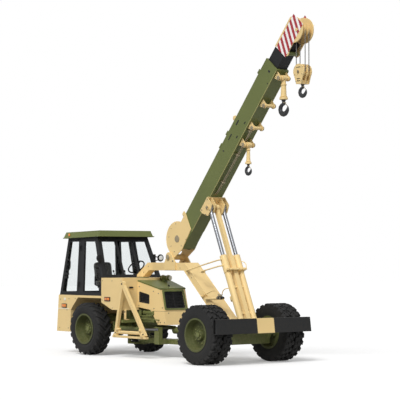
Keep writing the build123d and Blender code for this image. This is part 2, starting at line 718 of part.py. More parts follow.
def hook_block():
    """Cheek plates, sheaves on a pin and the crosshead that carries the hook."""
    x = sheave_xz()[0]
    face = Pos(x, BLOCK_Z) * Circle(BLOCK_CHEEK_R)
    face += outline([
        (x - BLOCK_CHEEK_R, BLOCK_Z), (x + BLOCK_CHEEK_R, BLOCK_Z), (x + 70, BLOCK_LOW), (x - 70, BLOCK_LOW),
    ])
    block_part = both_sides(side_plate(face, (BLOCK_HALF - 20, BLOCK_HALF)))
    block_part += side_plate(face, (-8, 8))
    block_part += block((x - 60, x + 60), (-BLOCK_HALF + 20, BLOCK_HALF - 20), (BLOCK_LOW, BLOCK_LOW + 70))
    for y in SHEAVE_Y:
        rim_half = SHEAVE_W / 2
        block_part += pin_y(x, BLOCK_Z, SHEAVE_R - ROPE_R - 0.3, (y - rim_half, y + rim_half))
    block_part += pin_y(x, BLOCK_Z, 26, (-BLOCK_HALF - 15, BLOCK_HALF + 15))
    return block_part - swivel_bore(x, BLOCK_LOW, MAIN_HOOK_SIZE)


save("hoist_ropes", hoist_ropes())
save("hook_block", hook_block())
save("main_hook", hook(sheave_xz()[0], BLOCK_LOW, MAIN_HOOK_SIZE))

for name, pin_x, shank, size in AUX_HOOKS:
    x, z = boom_point(pin_x, UNDER - HOOK_PIN_DROP)
    flare = Cone(0.19 * size, 0.13 * size, shank - 45, align=(Align.CENTER, Align.CENTER, Align.MIN))
    link = Pos(x, 0, z - shank) * flare + pin_y(x, z, HOOK_TUBE_R + 26, (-55, 55))
    link -= pin_y(x, z, HOOK_TUBE_R + RUN_FIT, (-60, 60))
    save(f"{name}_hook_shank", link - swivel_bore(x, z - shank, size))
    save(f"{name}_hook", hook(x, z - shank, size))


# ------------------------------------------------------------------ rear unit

def at_height(pair, z):
    """Straight line between a sill value and a roof value."""
    share = (z - CAB_SILL_Z) / (CAB_TOP_Z - CAB_SILL_Z)
    return pair[0] + share * (pair[1] - pair[0])


def cab_solid(inset, z):
    """Space inside the cab's outer faces, set in all round."""
    half = (CAB_HALF_LOW, CAB_HALF_TOP)
    front = (CAB_FRONT_X[0], CAB_FRONT_X[1])

    def front_x(height):
        if height <= CAB_WAIST_Z:
            return front[0]
        share = (height - CAB_WAIST_Z) / (CAB_TOP_Z - CAB_WAIST_Z)
        return front[0] + share * (front[1] - front[0])

    side = outline([
        (at_height(CAB_REAR_X, z[0]) + inset, z[0]), (front_x(z[0]) - inset, z[0]),
        (front[0] - inset, CAB_WAIST_Z), (front_x(z[1]) - inset, z[1]), (at_height(CAB_REAR_X, z[1]) + inset, z[1]),
    ])
    ends = outline([
        (-at_height(half, z[0]) + inset, z[0]), (at_height(half, z[0]) - inset, z[0]),
        (at_height(half, z[1]) - inset, z[1]), (-at_height(half, z[1]) + inset, z[1]),
    ])
    return side_plate(side, (-BODY_HALF, BODY_HALF)) & cross_plate(ends, (CAB_REAR_X[0] - 200, CAB_FRONT_X[0] + 200))


WINDOW_Z = (1365, 2475)
RIGHT, LEFT = (-BODY_HALF, -500), (500, BODY_HALF)
DOOR_GLASS = outline([(-5106, WINDOW_Z[0]), (-4560, WINDOW_Z[0]), (-4665, WINDOW_Z[1]), (-5010, WINDOW_Z[1])], 18)
DOOR_EDGE = [(-5150, 1320), (-4500, 1320), (-4605, 2515), (-5046, 2515)]
FRONT_PANE = outline([
    (-4320, WINDOW_Z[0]), (-3730, WINDOW_Z[0]), (-3730, CAB_WAIST_Z), (-4060, WINDOW_Z[1]), (-4460, WINDOW_Z[1]),
], 18)
WINDSCREEN = [
    outline([(-680, 1745), (-240, 1745), (-240, WINDOW_Z[1]), (-600, WINDOW_Z[1])], 18),
    outline([(-185, 1745), (185, 1745), (185, WINDOW_Z[1]), (-185, WINDOW_Z[1])], 18),
    outline([(240, 1745), (680, 1745), (600, WINDOW_Z[1]), (240, WINDOW_Z[1])], 18),
]
REAR_WINDOW = outline([(-700, WINDOW_Z[0]), (700, WINDOW_Z[0]), (600, WINDOW_Z[1]), (-600, WINDOW_Z[1])], 18)


def door_outline(gap):
    (xa, za), (xb, zb), (xc, zc), (xd, zd) = DOOR_EDGE
    top = DOOR_TOP_GAP if gap else 0
    return outline([(xa + gap, za + gap), (xb - gap, zb + gap), (xc - gap, zc - top), (xd + gap, zd - top)])


def hinge_point(z):
    """On the door's leaning hinge line, outside the right wall in the gap at the door's front edge."""
    share = (z - DOOR_EDGE[1][1]) / (DOOR_EDGE[2][1] - DOOR_EDGE[1][1])
    x = DOOR_EDGE[1][0] + share * (DOOR_EDGE[2][0] - DOOR_EDGE[1][0]) - DOOR_GAP / 2
    return Vector(x, -at_height((CAB_HALF_LOW, CAB_HALF_TOP), z) - HINGE_OUT, z)


def door_hinges():
    """Pins on the pillar and sleeves on the door."""
    pins, sleeves = Part(), Part()
    for z in HINGE_Z:
        low, high = hinge_point(z), hinge_point(z + 100)
        up = (high - low).normalized()
        pins += bar(low, high, HINGE_PIN_R)
        for end in (low, high - up * 18):
            pins += bar(end, end + up * 18, HINGE_PIN_R + 7)
            middle = end + up * 9
            pins += block((middle.X, middle.X + 40), (middle.Y, middle.Y + 24), (middle.Z - 9, middle.Z + 9))
        inner = (low + up * 24, high - up * 24)
        middle = (low + high) * 0.5
        sleeves += bar(*inner, HINGE_PIN_R + 7)
        sleeves += block((middle.X - 40, middle.X), (middle.Y, middle.Y + 24), (middle.Z - 24, middle.Z + 24))
        sleeves -= bar(low, high, HINGE_PIN_R + RUN_FIT)
    return pins, sleeves


cab_z = (CAB_SILL_Z, CAB_TOP_Z + ROOF_RISE)
past_z = (CAB_SILL_Z - 50, CAB_TOP_Z + 50)
shell = cab_solid(0, cab_z) - cab_solid(CAB_WALL, past_z)
glazing = cab_solid(CAB_WALL / 2 - GLASS / 2, cab_z) - cab_solid(CAB_WALL / 2 + GLASS / 2, past_z)
side_panes = both_sides(side_plate(FRONT_PANE, RIGHT))
side_panes += side_plate(DOOR_GLASS, LEFT)
front_panes = Part()
for pane in WINDSCREEN:
    front_panes += cross_plate(pane, (-4100, -3500))
rear_pane = cross_plate(REAR_WINDOW, (-5300, -5000))
door_gap = side_plate(door_outline(0), RIGHT)
under_roof = outline([(-5300, CAB_TOP_Z - 3), (ROOF_X[1], CAB_TOP_Z + ROOF_RISE), (ROOF_X[1], 2800), (-5300, 2800)])
shell -= side_plate(under_roof, (-BODY_HALF, BODY_HALF))
frame_pins, frame_sleeves = door_hinges()
save("cab_frame", shell - side_panes - front_panes - rear_pane - door_gap + frame_pins)
save("cab_glass", glazing & (side_panes + front_panes + rear_pane))
door_slab = shell & side_plate(door_outline(DOOR_GAP), RIGHT)
save("door", door_slab - side_plate(DOOR_GLASS, RIGHT) + frame_sleeves)
save("door_glass", glazing & side_plate(DOOR_GLASS, RIGHT))


def cab_roof():
    x, half = ROOF_X, ROOF_HALF
    side = outline([
        (x[0], CAB_TOP_Z), (x[1], CAB_TOP_Z + ROOF_RISE), (x[1] - 45, CAB_TOP_Z + ROOF_RISE + ROOF_THICK),
        (x[0] + 45, CAB_TOP_Z + ROOF_THICK),
    ])
    high = CAB_TOP_Z + ROOF_RISE + ROOF_THICK
    ends = outline([(-half - 12, CAB_TOP_Z), (half + 12, CAB_TOP_Z), (half - 45, high), (45 - half, high)])
    return side_plate(side, (-half - 20, half + 20)) & cross_plate(ends, (x[0] - 10, x[1] + 10))


def cab_base():
    """Floor and mudguards: a slab over the wheels with a raised front edge."""
    return block((CAB_REAR_X[0] - 40, COWL_X[0]), (-BODY_HALF, BODY_HALF), (CAB_SILL_Z - CAB_SLAB, CAB_SILL_Z))


def counterweight():
    face = outline([
        (-5244, CAB_SILL_Z - CAB_SLAB), (-5310, 480), (-4790, 480), (-4770, 970), (-4500, CAB_SILL_Z - CAB_SLAB),
    ])
    return side_plate(face, (-BODY_HALF, BODY_HALF))


def cowl():
    """Scuttle between cab and hood, open below and lower on the left, cut clear of the wheels."""
    def shape(inset, low):
        rear, front = COWL_X[0] + inset, COWL_X[1] - inset
        top = COWL_Z[1] - inset
        face = outline([(rear, top), (rear, low + 150), (rear + 390, low), (front, low), (front, top)])
        step_y, step_z = COWL_STEP[0] - inset, COWL_STEP[1] - inset
        full = side_plate(face, (-COWL_HALF + inset, COWL_HALF - inset))
        return full - block((rear - 10, front + 10), (step_y, COWL_HALF + 10), (step_z, top + 10))
    body = shape(0, COWL_Z[0]) - shape(PANEL, COWL_Z[0] - 100)
    body -= block((COWL_X[1] - 50, COWL_X[1] + 10), (-HOOD_REAR_HALF + 40, HOOD_REAR_HALF - 40), (COWL_Z[0] - 10, 1560))
    body += block((COWL_X[1], COWL_X[1] + 160), (SIDE_FRAME_Y[1], 60 - COWL_HALF), FRAME_LUG_Z)
    return body - post((PIVOT_X, 0), UPPER_BOSS_R + 15, (COWL_Z[1] - 50, COWL_Z[1] + 50))


HOOD_X = (COWL_X[1], -2010)
HOOD_TOP = ((-2880, 1610), (-2230, 1445))
LID_THICK = 25
NOSE_Z = 700
MOUTH = ((-265, 1045), (265, 1045), (250, 1400), (-250, 1400))
VENT = ((-2840, 1400), (-2530, 1330), (-2530, 1130), (-2840, 1165))
SLAT_PITCH = 32
SLAT_GAP = 17


def hood_wedge(inset, drop=0):
    """Hood narrowing to its nose, set in on the sides, top and nose, let down at the bottom."""
    face = outline([
        (HOOD_TOP[0][0], HOOD_TOP[0][1] - inset), (HOOD_TOP[1][0] - inset, HOOD_TOP[1][1] - inset),
        (HOOD_X[1] - inset, NOSE_Z - drop), (HOOD_X[1] - 270, NOSE_Z - drop),
        (-2500, 1010 - drop), (HOOD_X[0], 1060 - drop),
    ])
    rear, front = HOOD_REAR_HALF - inset, HOOD_FRONT_HALF - inset
    plan = outline([(HOOD_X[0], -rear), (HOOD_X[1], -front), (HOOD_X[1], front), (HOOD_X[0], rear)])
    return side_plate(face, (-500, 500)) & plan_plate(plan, (400, 1800))


def hood_panels():
    body = hood_wedge(0) - hood_wedge(PANEL, 60)
    return body - side_plate(outline(VENT, 25), (-600, 600)) - cross_plate(outline(MOUTH, 15), (-2260, -1900))


def hood_lid():
    (xa, za), (xb, zb) = HOOD_TOP
    face = outline([(xa, za + LID_THICK), (xb + 10, zb + LID_THICK), (xb + 10, zb - 2.5), (xa, za)])
    rear, front = HOOD_REAR_HALF + 4, HOOD_FRONT_HALF + 4
    plan = outline([(HOOD_X[0], -rear), (HOOD_X[1], -front), (HOOD_X[1], front), (HOOD_X[0], rear)])
    return (side_plate(face, (-500, 500)) & plan_plate(plan, (1300, 1700))) - hood_wedge(0)


def grille_frame():
    """Raised frame round the mouth of the nose."""
    skin = hood_wedge(-14) - hood_wedge(0)
    edge = [(x * 1.15, z + (35 if z > 1200 else -30)) for x, z in MOUTH]
    return (skin & cross_plate(outline(edge, 25), (-2300, -1900))) - cross_plate(outline(MOUTH, 15), (-2300, -1900))


def grille():
    """Slatted plates that fill the mouth of the nose and the openings in the hood's sides."""
    plate = hood_wedge(4) - hood_wedge(14)
    nose = plate & cross_plate(outline(MOUTH, 15), (-2300, -1900))
    sides = plate & side_plate(outline(VENT, 25), (-600, 600))
    for z in range(MOUTH[0][1] + 22, MOUTH[2][1] - 25, SLAT_PITCH):
        for y in ((-225, -8), (8, 225)):
            nose -= block((-2300, -1900), y, (z, z + SLAT_GAP))
    for x in range(VENT[0][0] + 24, VENT[1][0] - 25, SLAT_PITCH):
        low, high = 1190, 1400 - 0.226 * (x - VENT[0][0]) - 30
        sides -= block((x, x + SLAT_GAP), (-600, 600), (low, high))
    return nose + sides


save("cab_roof", cab_roof())
save("cab_base", cab_base())
save("cowl", cowl())
save("hood_panels", hood_panels())
save("hood_lid", hood_lid())
save("grille_frame", grille_frame())
save("grille", grille())


def rear_chassis():
    frame = both_sides(block(REAR_RAIL_X, REAR_RAIL_Y, REAR_RAIL_Z))
    for x in ((-4700, -4640), (-3700, -3640)):
        frame += block(x, (-REAR_RAIL_Y[0], REAR_RAIL_Y[0]), REAR_RAIL_Z)
    # lower yoke round the eye of the drawbar
    low, high = DRAWBAR_Z[0] - PIVOT_GAP, DRAWBAR_Z[1] + PIVOT_GAP
    arm_x, arm_y = (PIVOT_X - 235, PIVOT_X - 160), (YOKE_HALF - 50, YOKE_HALF)
    for z0 in (low - YOKE_LUG, high):
        frame += block((arm_x[0], PIVOT_X), (-YOKE_HALF, YOKE_HALF), (z0, z0 + YOKE_LUG))
        frame += post((PIVOT_X, 0), 110, (z0, z0 + YOKE_LUG))
    frame += both_sides(block(arm_x, arm_y, (low - YOKE_LUG, REAR_RAIL_Z[0])))
    frame += both_sides(block(arm_x, (arm_y[0], REAR_RAIL_Y[1]), (REAR_RAIL_Z[0] - 40, REAR_RAIL_Z[0])))
    frame += post((PIVOT_X, 0), PIVOT_PIN_R, (low - YOKE_LUG - 15, high + YOKE_LUG + 15))
    # portal that carries the upper pivot through the top of the cowl
    portal_x = (PIVOT_X - 65, PIVOT_X + 65)
    frame += both_sides(block(portal_x, PORTAL_Y, (REAR_RAIL_Z[1], PORTAL_Z)))
    frame += both_sides(block(portal_x, (REAR_RAIL_Y[0], PORTAL_Y[1]), (REAR_RAIL_Z[1], REAR_RAIL_Z[1] + 40)))
    frame += block(portal_x, (-PORTAL_Y[1], PORTAL_Y[1]), (PORTAL_Z - 100, PORTAL_Z))
    frame += post((PIVOT_X, 0), UPPER_BOSS_R, (PORTAL_Z, UPPER_PIVOT_Z - PIVOT_GAP))
    frame += post((PIVOT_X, 0), PIVOT_PIN_R, (PORTAL_Z, UPPER_PIVOT_Z + PIVOT_PIN_REACH))
    # pads on the axle
    pad_x = (-WHEELBASE - 70, -WHEELBASE + 70)
    frame += both_sides(block(pad_x, REAR_RAIL_Y, (REAR_TYRE_D / 2, REAR_RAIL_Z[0])))
    # brackets of the steering cylinders
    bx, by = STEER_BASE[0], -STEER_BASE[1]
    gap = STEER_EYE_H / 2 + 5
    for z0 in (STEER_Z - gap - 20, STEER_Z + gap):
        frame += both_sides(block((bx - 58, bx + 40), (REAR_RAIL_Y[0], by + 35), (z0, z0 + 20)))
    frame += both_sides(block((bx - 58, bx - 43), (REAR_RAIL_Y[0], by + 35), (STEER_Z - gap, REAR_RAIL_Z[0])))
    frame += both_sides(post((bx, by), STEER_PIN_R, (STEER_Z - gap - 30, STEER_Z + gap + 30)))
    # stay from the right rail to the side frame, posts up to the cab
    stay_x = (SIDE_STAY_X, SIDE_STAY_X + 60)
    frame += block(stay_x, (SIDE_FRAME_Y[1], -REAR_RAIL_Y[1]), (REAR_RAIL_Z[0], REAR_RAIL_Z[0] + 60))
    for x in CAB_POST_X:
        frame += both_sides(block((x, x + 80), REAR_RAIL_Y, (REAR_RAIL_Z[1], CAB_SILL_Z - CAB_SLAB)))
    return frame


def engine():
    unit = block((-2950, -2330), (-250, 250), (690, 1150))
    unit += block((-2900, -2400), (-150, 150), (1150, 1330))
    unit += both_sides(block((-2720, -2620), (240, REAR_RAIL_Y[0]), (REAR_RAIL_Z[0], REAR_RAIL_Z[0] + 60)))
    return unit + block((-3890, -2950), (-140, 140), (500, 720))


def side_frame():
    """A-shaped frame with a step on the right of the hood, outside the cowl."""
    y = sum(SIDE_FRAME_Y) / 2
    width = SIDE_FRAME_Y[1] - SIDE_FRAME_Y[0]
    apex, rear, front = SIDE_FRAME_APEX, SIDE_FRAME_REAR, SIDE_FRAME_FRONT
    frame = beam((rear[0], y, rear[1]), (apex[0], y, apex[1]), width, 70)
    frame += beam((front[0], y, front[1]), (apex[0], y, apex[1]), width, 80)
    frame += block((rear[0] - 90, front[0] + 60), SIDE_FRAME_Y, (SIDE_BAR_Z, SIDE_BAR_Z + 45))
    frame += bar((rear[0] + 30, y, SIDE_BAR_Z + 105), (front[0] - 60, y, SIDE_BAR_Z + 105), 26)
    return frame + pin_y(*apex, 62, SIDE_FRAME_Y)


def seat():
    chair = block((-4850, -4560), (-180, 180), (CAB_SILL_Z, 1490))
    chair += block((-4900, -4420), (-250, 250), (1490, 1620))
    chair += beam((-4850, 0, 1560), (-4930, 0, 2010), 480, 110)
    return Pos(0, SEAT_Y, 0) * chair


def controls():
    """Dash, column and steering wheel."""
    desk = block((-3860, -3700), (-450, 450), (CAB_SILL_Z, 1620))
    desk += bar((COLUMN_FOOT[0], WHEEL_AT[1], COLUMN_FOOT[1]), WHEEL_AT, 28)
    wheel = Torus(WHEEL_R, 15)
    wheel += bar((-WHEEL_R, 0, 0), (WHEEL_R, 0, 0), 12)
    wheel += Cylinder(45, 40)
    lean = degrees(atan2(COLUMN_FOOT[0] - WHEEL_AT[0], WHEEL_AT[2] - COLUMN_FOOT[1]))
    return desk + Location(WHEEL_AT, (0, -lean, 0)) * wheel


def steer_parts():
    """Right-hand steering cylinder: barrel and rod along X from the bracket's pin."""
    barrel = bar((30, 0, 0), (110, 0, 0), STEER_EYE_H / 2 - 1)
    barrel += bar((95, 0, 0), (STEER_BARREL_L, 0, 0), STEER_BARREL_R)
    barrel += post((0, 0), 34, (-STEER_EYE_H / 2, STEER_EYE_H / 2))
    barrel -= post((0, 0), STEER_PIN_R + RUN_FIT, (-60, 60))
    barrel -= bar((150, 0, 0), (STEER_BARREL_L + 1, 0, 0), STEER_ROD_R + RUN_FIT)
    run = hypot(STEER_EYE[0] - STEER_BASE[0], STEER_EYE[1] - STEER_BASE[1])
    rod = bar((STEER_ROD_INNER, 0, 0), (run - 30, 0, 0), STEER_ROD_R)
    rod += post((run, 0), STEER_EYE_R, (-STEER_EYE_H / 2, STEER_EYE_H / 2))
    rod -= post((run, 0), STEER_PIN_R + 5, (-60, 60))
    turn = degrees(atan2(STEER_EYE[1] - STEER_BASE[1], STEER_EYE[0] - STEER_BASE[0]))
    place = Location((*STEER_BASE, STEER_Z), (0, 0, turn))
    return place * barrel, place * rod


def air_cleaner():
    """Canister lying above the hood on a cradle."""
    x, y, z = AIR_CLEANER_X, AIR_CLEANER_Y, AIR_CLEANER_Z
    can = bar((x[0], y, z), (x[1], y, z), AIR_CLEANER_R)
    return can + block((x[0] + 60, x[0] + 160), (y - 40, y + 40), (1590, z)) - hood_lid()


def lamps():
    lights = Part()
    for x, y, z, size in LAMPS:
        lights += both_sides(block((x - size[0] / 2, x + size[0] / 2), (y, y + size[1]), (z, z + size[2])))
    return lights


chassis = rear_chassis()
power = engine()
rear_axle = axle(-WHEELBASE, REAR_TYRE_D / 2, REAR_SPINDLE_END, REAR_FLANGE_Y, REAR_AXLE_R, 170)
save("rear_chassis", chassis)
save("rear_axle", rear_axle - chassis)
save("engine", power - rear_axle - chassis)
save("counterweight", counterweight() - chassis)
save("side_frame", side_frame())
save("seat", seat())
save("controls", controls())
save("lamps", lamps())
save("air_cleaner", air_cleaner())
barrel, rod = steer_parts()
for side, name in ((-1, "right"), (1, "left")):
    save(f"steer_barrel_{name}", barrel if side < 0 else mirror(barrel, about=Plane.XZ))
    save(f"steer_rod_{name}", rod if side < 0 else mirror(rod, about=Plane.XZ))
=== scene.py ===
# %% [markdown]
# # An articulated pick-and-carry crane
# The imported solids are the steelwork: every rigid piece is already there, at its real size.
# This lesson dresses them. Paint, rubber and glass go onto the solids, and what is too fine
# for them, such as tread, bolts, pipes and seat cushions, is modelled beside them.

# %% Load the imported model
import json
from math import atan2, cos, exp, pi, radians, sin, tau

import bmesh
import bpy
from mathutils import Matrix, Vector


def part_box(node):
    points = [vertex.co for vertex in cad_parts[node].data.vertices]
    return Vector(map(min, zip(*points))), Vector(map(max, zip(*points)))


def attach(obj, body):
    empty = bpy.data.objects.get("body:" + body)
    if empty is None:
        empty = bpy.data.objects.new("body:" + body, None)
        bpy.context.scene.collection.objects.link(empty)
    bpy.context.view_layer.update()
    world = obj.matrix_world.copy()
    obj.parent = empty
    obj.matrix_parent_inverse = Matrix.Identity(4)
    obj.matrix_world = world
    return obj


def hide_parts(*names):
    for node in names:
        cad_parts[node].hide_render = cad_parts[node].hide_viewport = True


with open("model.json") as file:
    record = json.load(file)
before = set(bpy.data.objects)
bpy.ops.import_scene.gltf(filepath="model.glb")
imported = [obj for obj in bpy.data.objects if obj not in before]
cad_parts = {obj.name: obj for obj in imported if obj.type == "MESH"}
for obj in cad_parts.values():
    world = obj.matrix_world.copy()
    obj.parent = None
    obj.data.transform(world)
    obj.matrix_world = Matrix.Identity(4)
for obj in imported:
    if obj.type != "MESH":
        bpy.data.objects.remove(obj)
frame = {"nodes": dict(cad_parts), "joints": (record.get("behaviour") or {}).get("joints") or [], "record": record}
nodes = frame["nodes"]
joints = {joint["name"]: joint for joint in frame["joints"]}
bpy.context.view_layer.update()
scene = bpy.context.scene

# %% [markdown]
# Positions are written from the middle of the front axle, because a builder measures a machine
# from its axles. The boom leans and so do its cylinders, so each has a matrix of its own:
# X runs along it, Z square to it, and the origin is on the pin that it turns on.

# %% Places to measure from
low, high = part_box("front_axle")
AXLE_X = (low.x + high.x) / 2
GROUND = Matrix.Translation((AXLE_X, 0, 0))


def leaning(joint, axis):
    """Matrix with its origin on a joint and X along a joint's sliding axis."""
    lean = atan2(joints[axis]["axis"][2], joints[axis]["axis"][0])
    return Matrix.Translation(joints[joint]["pos_m"]) @ Matrix.Rotation(-lean, 4, "Y")


BOOM = leaning("boom_luff", "boom_telescope")
CYLINDER = leaning("lift_barrels_swing", "lift_rods_slide")
CYLINDER_Y = 0.175
BOTH = (-1, 1)
SIDES = ((-1, "right"), (1, "left"))
print("front axle at", round(AXLE_X, 4), "foot pin at", [round(v, 3) for v in BOOM.translation])

# %% [markdown]
# ## Camera
# A long lens from far away keeps the machine's upright edges nearly parallel, as in a studio.

# %% Camera
CAMERA_FROM_AXLE = (24.409, -21.17, 2.142)
CAMERA_TURN = (92.019, 0, 50.54)
camera_data = bpy.data.cameras.new("camera")
camera_data.lens = 144
camera_data.sensor_width = 36
camera_data.clip_end = 200
camera = bpy.data.objects.new("camera", camera_data)
camera.location = GROUND @ Vector(CAMERA_FROM_AXLE)
camera.rotation_euler = [radians(turn) for turn in CAMERA_TURN]
scene.collection.objects.link(camera)
scene.camera = camera
scene.view_settings.view_transform = "Standard"
print("camera", camera_data.lens, "mm")

# %% [markdown]
# ## Shader tools
# A small helper makes a node and joins its inputs, so that a material reads as a short recipe.
# The arithmetic helpers work in the tree that their first socket belongs to. Colours are
# written as they look on a screen and turned into linear light here.

# %% Node helpers
def linear(colour):
    """Screen values from 0 to 255 as the linear colour that a shader wants."""
    shares = [value / 255 for value in colour]
    return (*(s / 12.92 if s <= 0.04045 else ((s + 0.055) / 1.055) ** 2.4 for s in shares), 1.0)


def put(tree, kind, inputs=(), **settings):
    """A new node with its settings, its inputs given by name or number as values or sockets."""
    made = tree.nodes.new("ShaderNode" + kind)
    for key, value in settings.items():
        setattr(made, key, value)
    for key, value in dict(inputs).items():
        if isinstance(value, bpy.types.NodeSocket):
            tree.links.new(value, made.inputs[key])
        else:
            made.inputs[key].default_value = value
    return made


def tree_of(*values):
    return next(value.id_data for value in values if isinstance(value, bpy.types.NodeSocket))


def maths(operation, a, b=0.0, clamp=False):
    settings = {"operation": operation, "use_clamp": clamp}
    return put(tree_of(a, b), "Math", {0: a, 1: b}, **settings).outputs[0]


def mixed(share, a, b):
    """Colour a where share is 0 and colour b where it is 1."""
    return put(tree_of(share), "Mix", {0: share, 6: a, 7: b}, data_type="RGBA").outputs[2]


def stepped(value, low, high, to_low=0.0, to_high=1.0):
    """The value carried from the range low to high onto another one, and held at its ends."""
    ranges = {"From Min": low, "From Max": high, "To Min": to_low, "To Max": to_high}
    return put(tree_of(value), "MapRange", {"Value": value, **ranges}).outputs["Result"]


def object_place(tree):
    return put(tree, "TexCoord").outputs["Object"]


def texture(tree, kind, scale, output=0, inputs=(), **settings):
    """One output of a texture node that reads Object coordinates."""
    given = {"Vector": object_place(tree), "Scale": scale, **dict(inputs)}
    return put(tree, "Tex" + kind, given, **settings).outputs[output]


# %% [markdown]
# ## Light
# The light is plain: an even white surround, one broad soft lamp high on the camera's left, and
# a weaker one from the right, so each colour renders about as it is written. The camera, bright
# metal and glass see the surround as white. The object is lit by a lower level of it.

# %% Surround and lamps
SURROUND_LIGHT = 0.41


def background_rays(tree):
    """1 for the rays that show a background: from the camera, off metal and through glass."""
    path = put(tree, "LightPath").outputs
    shown = maths("MAXIMUM", path["Is Camera Ray"], path["Is Transmission Ray"])
    return maths("MAXIMUM", shown, path["Is Glossy Ray"])


world = bpy.data.worlds.new("surround")
scene.world = world
world.use_nodes = True
sky = world.node_tree
sky.nodes.clear()
level = stepped(background_rays(sky), 0.0, 1.0, SURROUND_LIGHT, 1.0)
shade = put(sky, "Background", {"Color": (1, 1, 1, 1), "Strength": level})
put(sky, "OutputWorld", {"Surface": shade.outputs[0]})

# name, direction it shines in, strength, angle across in degrees
LAMPS = (
    ("key_lamp", (-0.36, 0.62, -0.7), 2.6, 26),
    ("fill_lamp", (-0.8, 0.1, -0.42), 0.42, 60),
)
for name, shines, strength, across in LAMPS:
    lamp_data = bpy.data.lights.new(name, "SUN")
    lamp_data.energy = strength
    lamp_data.angle = radians(across)
    lamp = bpy.data.objects.new(name, lamp_data)
    lamp.rotation_euler = Vector(shines).to_track_quat("-Z", "Y").to_euler()
    scene.collection.objects.link(lamp)
print("lamps", len(LAMPS))

# %% [markdown]
# ## Weathered surface
# A working machine is never one flat colour. Sun and washing change the tone over a metre or
# so, dust settles on what faces up and on what is near the ground, and paint rubs thin along
# edges. All three are masks, made once here and used by each finish with its own amounts. The
# Bevel node finds the edges, and its softened normal also rounds them to the eye.

# %% Weathering group
EDGE_WIDTH = 0.004
weather = bpy.data.node_groups.new("weathering", "ShaderNodeTree")
GIVEN = (
    *(("Color", label, (0.5, 0.5, 0.5, 1)) for label in ("Paint", "Worn", "Dust")),
    *(("Float", label, 0.5) for label in ("Tone", "Wear", "Dirt", "Rough")),
)
for kind, label, value in GIVEN:
    socket = weather.interface.new_socket(
        name=label, in_out="INPUT", socket_type="NodeSocket" + kind)
    socket.default_value = value
RESULTS = {"Color": "Color", "Roughness": "Float", "Height": "Float", "Rounded": "Vector"}
for label, kind in RESULTS.items():
    weather.interface.new_socket(name=label, in_out="OUTPUT", socket_type="NodeSocket" + kind)
given = weather.nodes.new("NodeGroupInput").outputs
result = weather.nodes.new("NodeGroupOutput").inputs

broad = texture(weather, "Noise", 1.3, inputs={"Detail": 3.0})
fine = texture(weather, "Noise", 26.0, inputs={"Detail": 6.0, "Roughness": 0.62})
rounded = put(weather, "Bevel", {"Radius": EDGE_WIDTH}, samples=4).outputs[0]
flat = put(weather, "NewGeometry").outputs["Normal"]
match = put(weather, "VectorMath", {0: rounded, 1: flat}, operation="DOT_PRODUCT").outputs[1]
edge = maths("MULTIPLY", stepped(match, 0.97, 0.86), stepped(fine, 0.44, 0.62))
edge = maths("MULTIPLY", edge, given["Wear"], clamp=True)
tone = maths("MULTIPLY", stepped(broad, 0.3, 0.7, -1.0, 1.0), given["Tone"])
bright = maths("ADD", 1.0, tone)
toned = put(weather, "HueSaturation", {"Color": given["Paint"], "Value": bright}).outputs[0]
up = put(weather, "SeparateXYZ", {0: flat}).outputs[2]
height = put(weather, "SeparateXYZ", {0: object_place(weather)}).outputs[2]
settled = maths("MULTIPLY", stepped(up, 0.55, 1.0), 0.35)
splashed = maths("MULTIPLY", stepped(height, 1.3, 0.0), 0.75)
dirt = maths("MULTIPLY", maths("ADD", settled, splashed), stepped(fine, 0.38, 0.66))
dirt = maths("MULTIPLY", dirt, given["Dirt"], clamp=True)
duller = maths("ADD", given["Rough"], maths("MULTIPLY", dirt, 0.45))
made = {
    "Color": mixed(dirt, mixed(edge, toned, given["Worn"]), given["Dust"]),
    "Roughness": maths("ADD", duller, stepped(fine, 0.3, 0.7, -0.05, 0.07), clamp=True),
    "Height": maths("ADD", fine, maths("MULTIPLY", edge, -0.6)),
    "Rounded": rounded,
}
for label, socket in made.items():
    weather.links.new(socket, result[label])
print("group", weather.name, "nodes", len(weather.nodes))

# %% [markdown]
# ## Finishes
# `finish` makes a material around a Principled shader: weathering gives colour, roughness and a
# shallow bump, and the constants, such as the clear layer over a paint, stand on the shader.
# Plain finishes are rows of a table, with a column for each thing that `finish` is given.

# %% Plain finishes
BEIGE = (232, 203, 143)
OLIVE = (98, 106, 56)
CHARCOAL = (32, 33, 34)
DUST = (176, 158, 124)
coats = {}


def finish(name, paint, worn, tone, wear, dirt, rough,
           bump=0.06, clear=0.0, shine=0.5, metal=0.0, dust=DUST):
    """A weathered material in coats; returns its tree, its aged paint and its relief."""
    material = bpy.data.materials.new(name)
    coats[name] = material
    material.use_nodes = True
    tree = material.node_tree
    principled = tree.nodes["Principled BSDF"]
    aged = tree.nodes.new("ShaderNodeGroup")
    aged.node_tree = weather
    for key, value in (("Paint", paint), ("Worn", worn), ("Dust", dust)):
        aged.inputs[key].default_value = linear(value)
    for key, value in (("Tone", tone), ("Wear", wear), ("Dirt", dirt), ("Rough", rough)):
        aged.inputs[key].default_value = value
    relief = put(tree, "Bump", {
        "Strength": bump, "Distance": 0.004,
        "Height": aged.outputs["Height"], "Normal": aged.outputs["Rounded"]})
    tree.links.new(aged.outputs["Color"], principled.inputs["Base Color"])
    tree.links.new(aged.outputs["Roughness"], principled.inputs["Roughness"])
    tree.links.new(relief.outputs["Normal"], principled.inputs["Normal"])
    constants = {"Coat Weight": clear, "Specular IOR Level": shine, "Metallic": metal}
    for key, value in constants.items():
        principled.inputs[key].default_value = value
    return tree, aged, relief


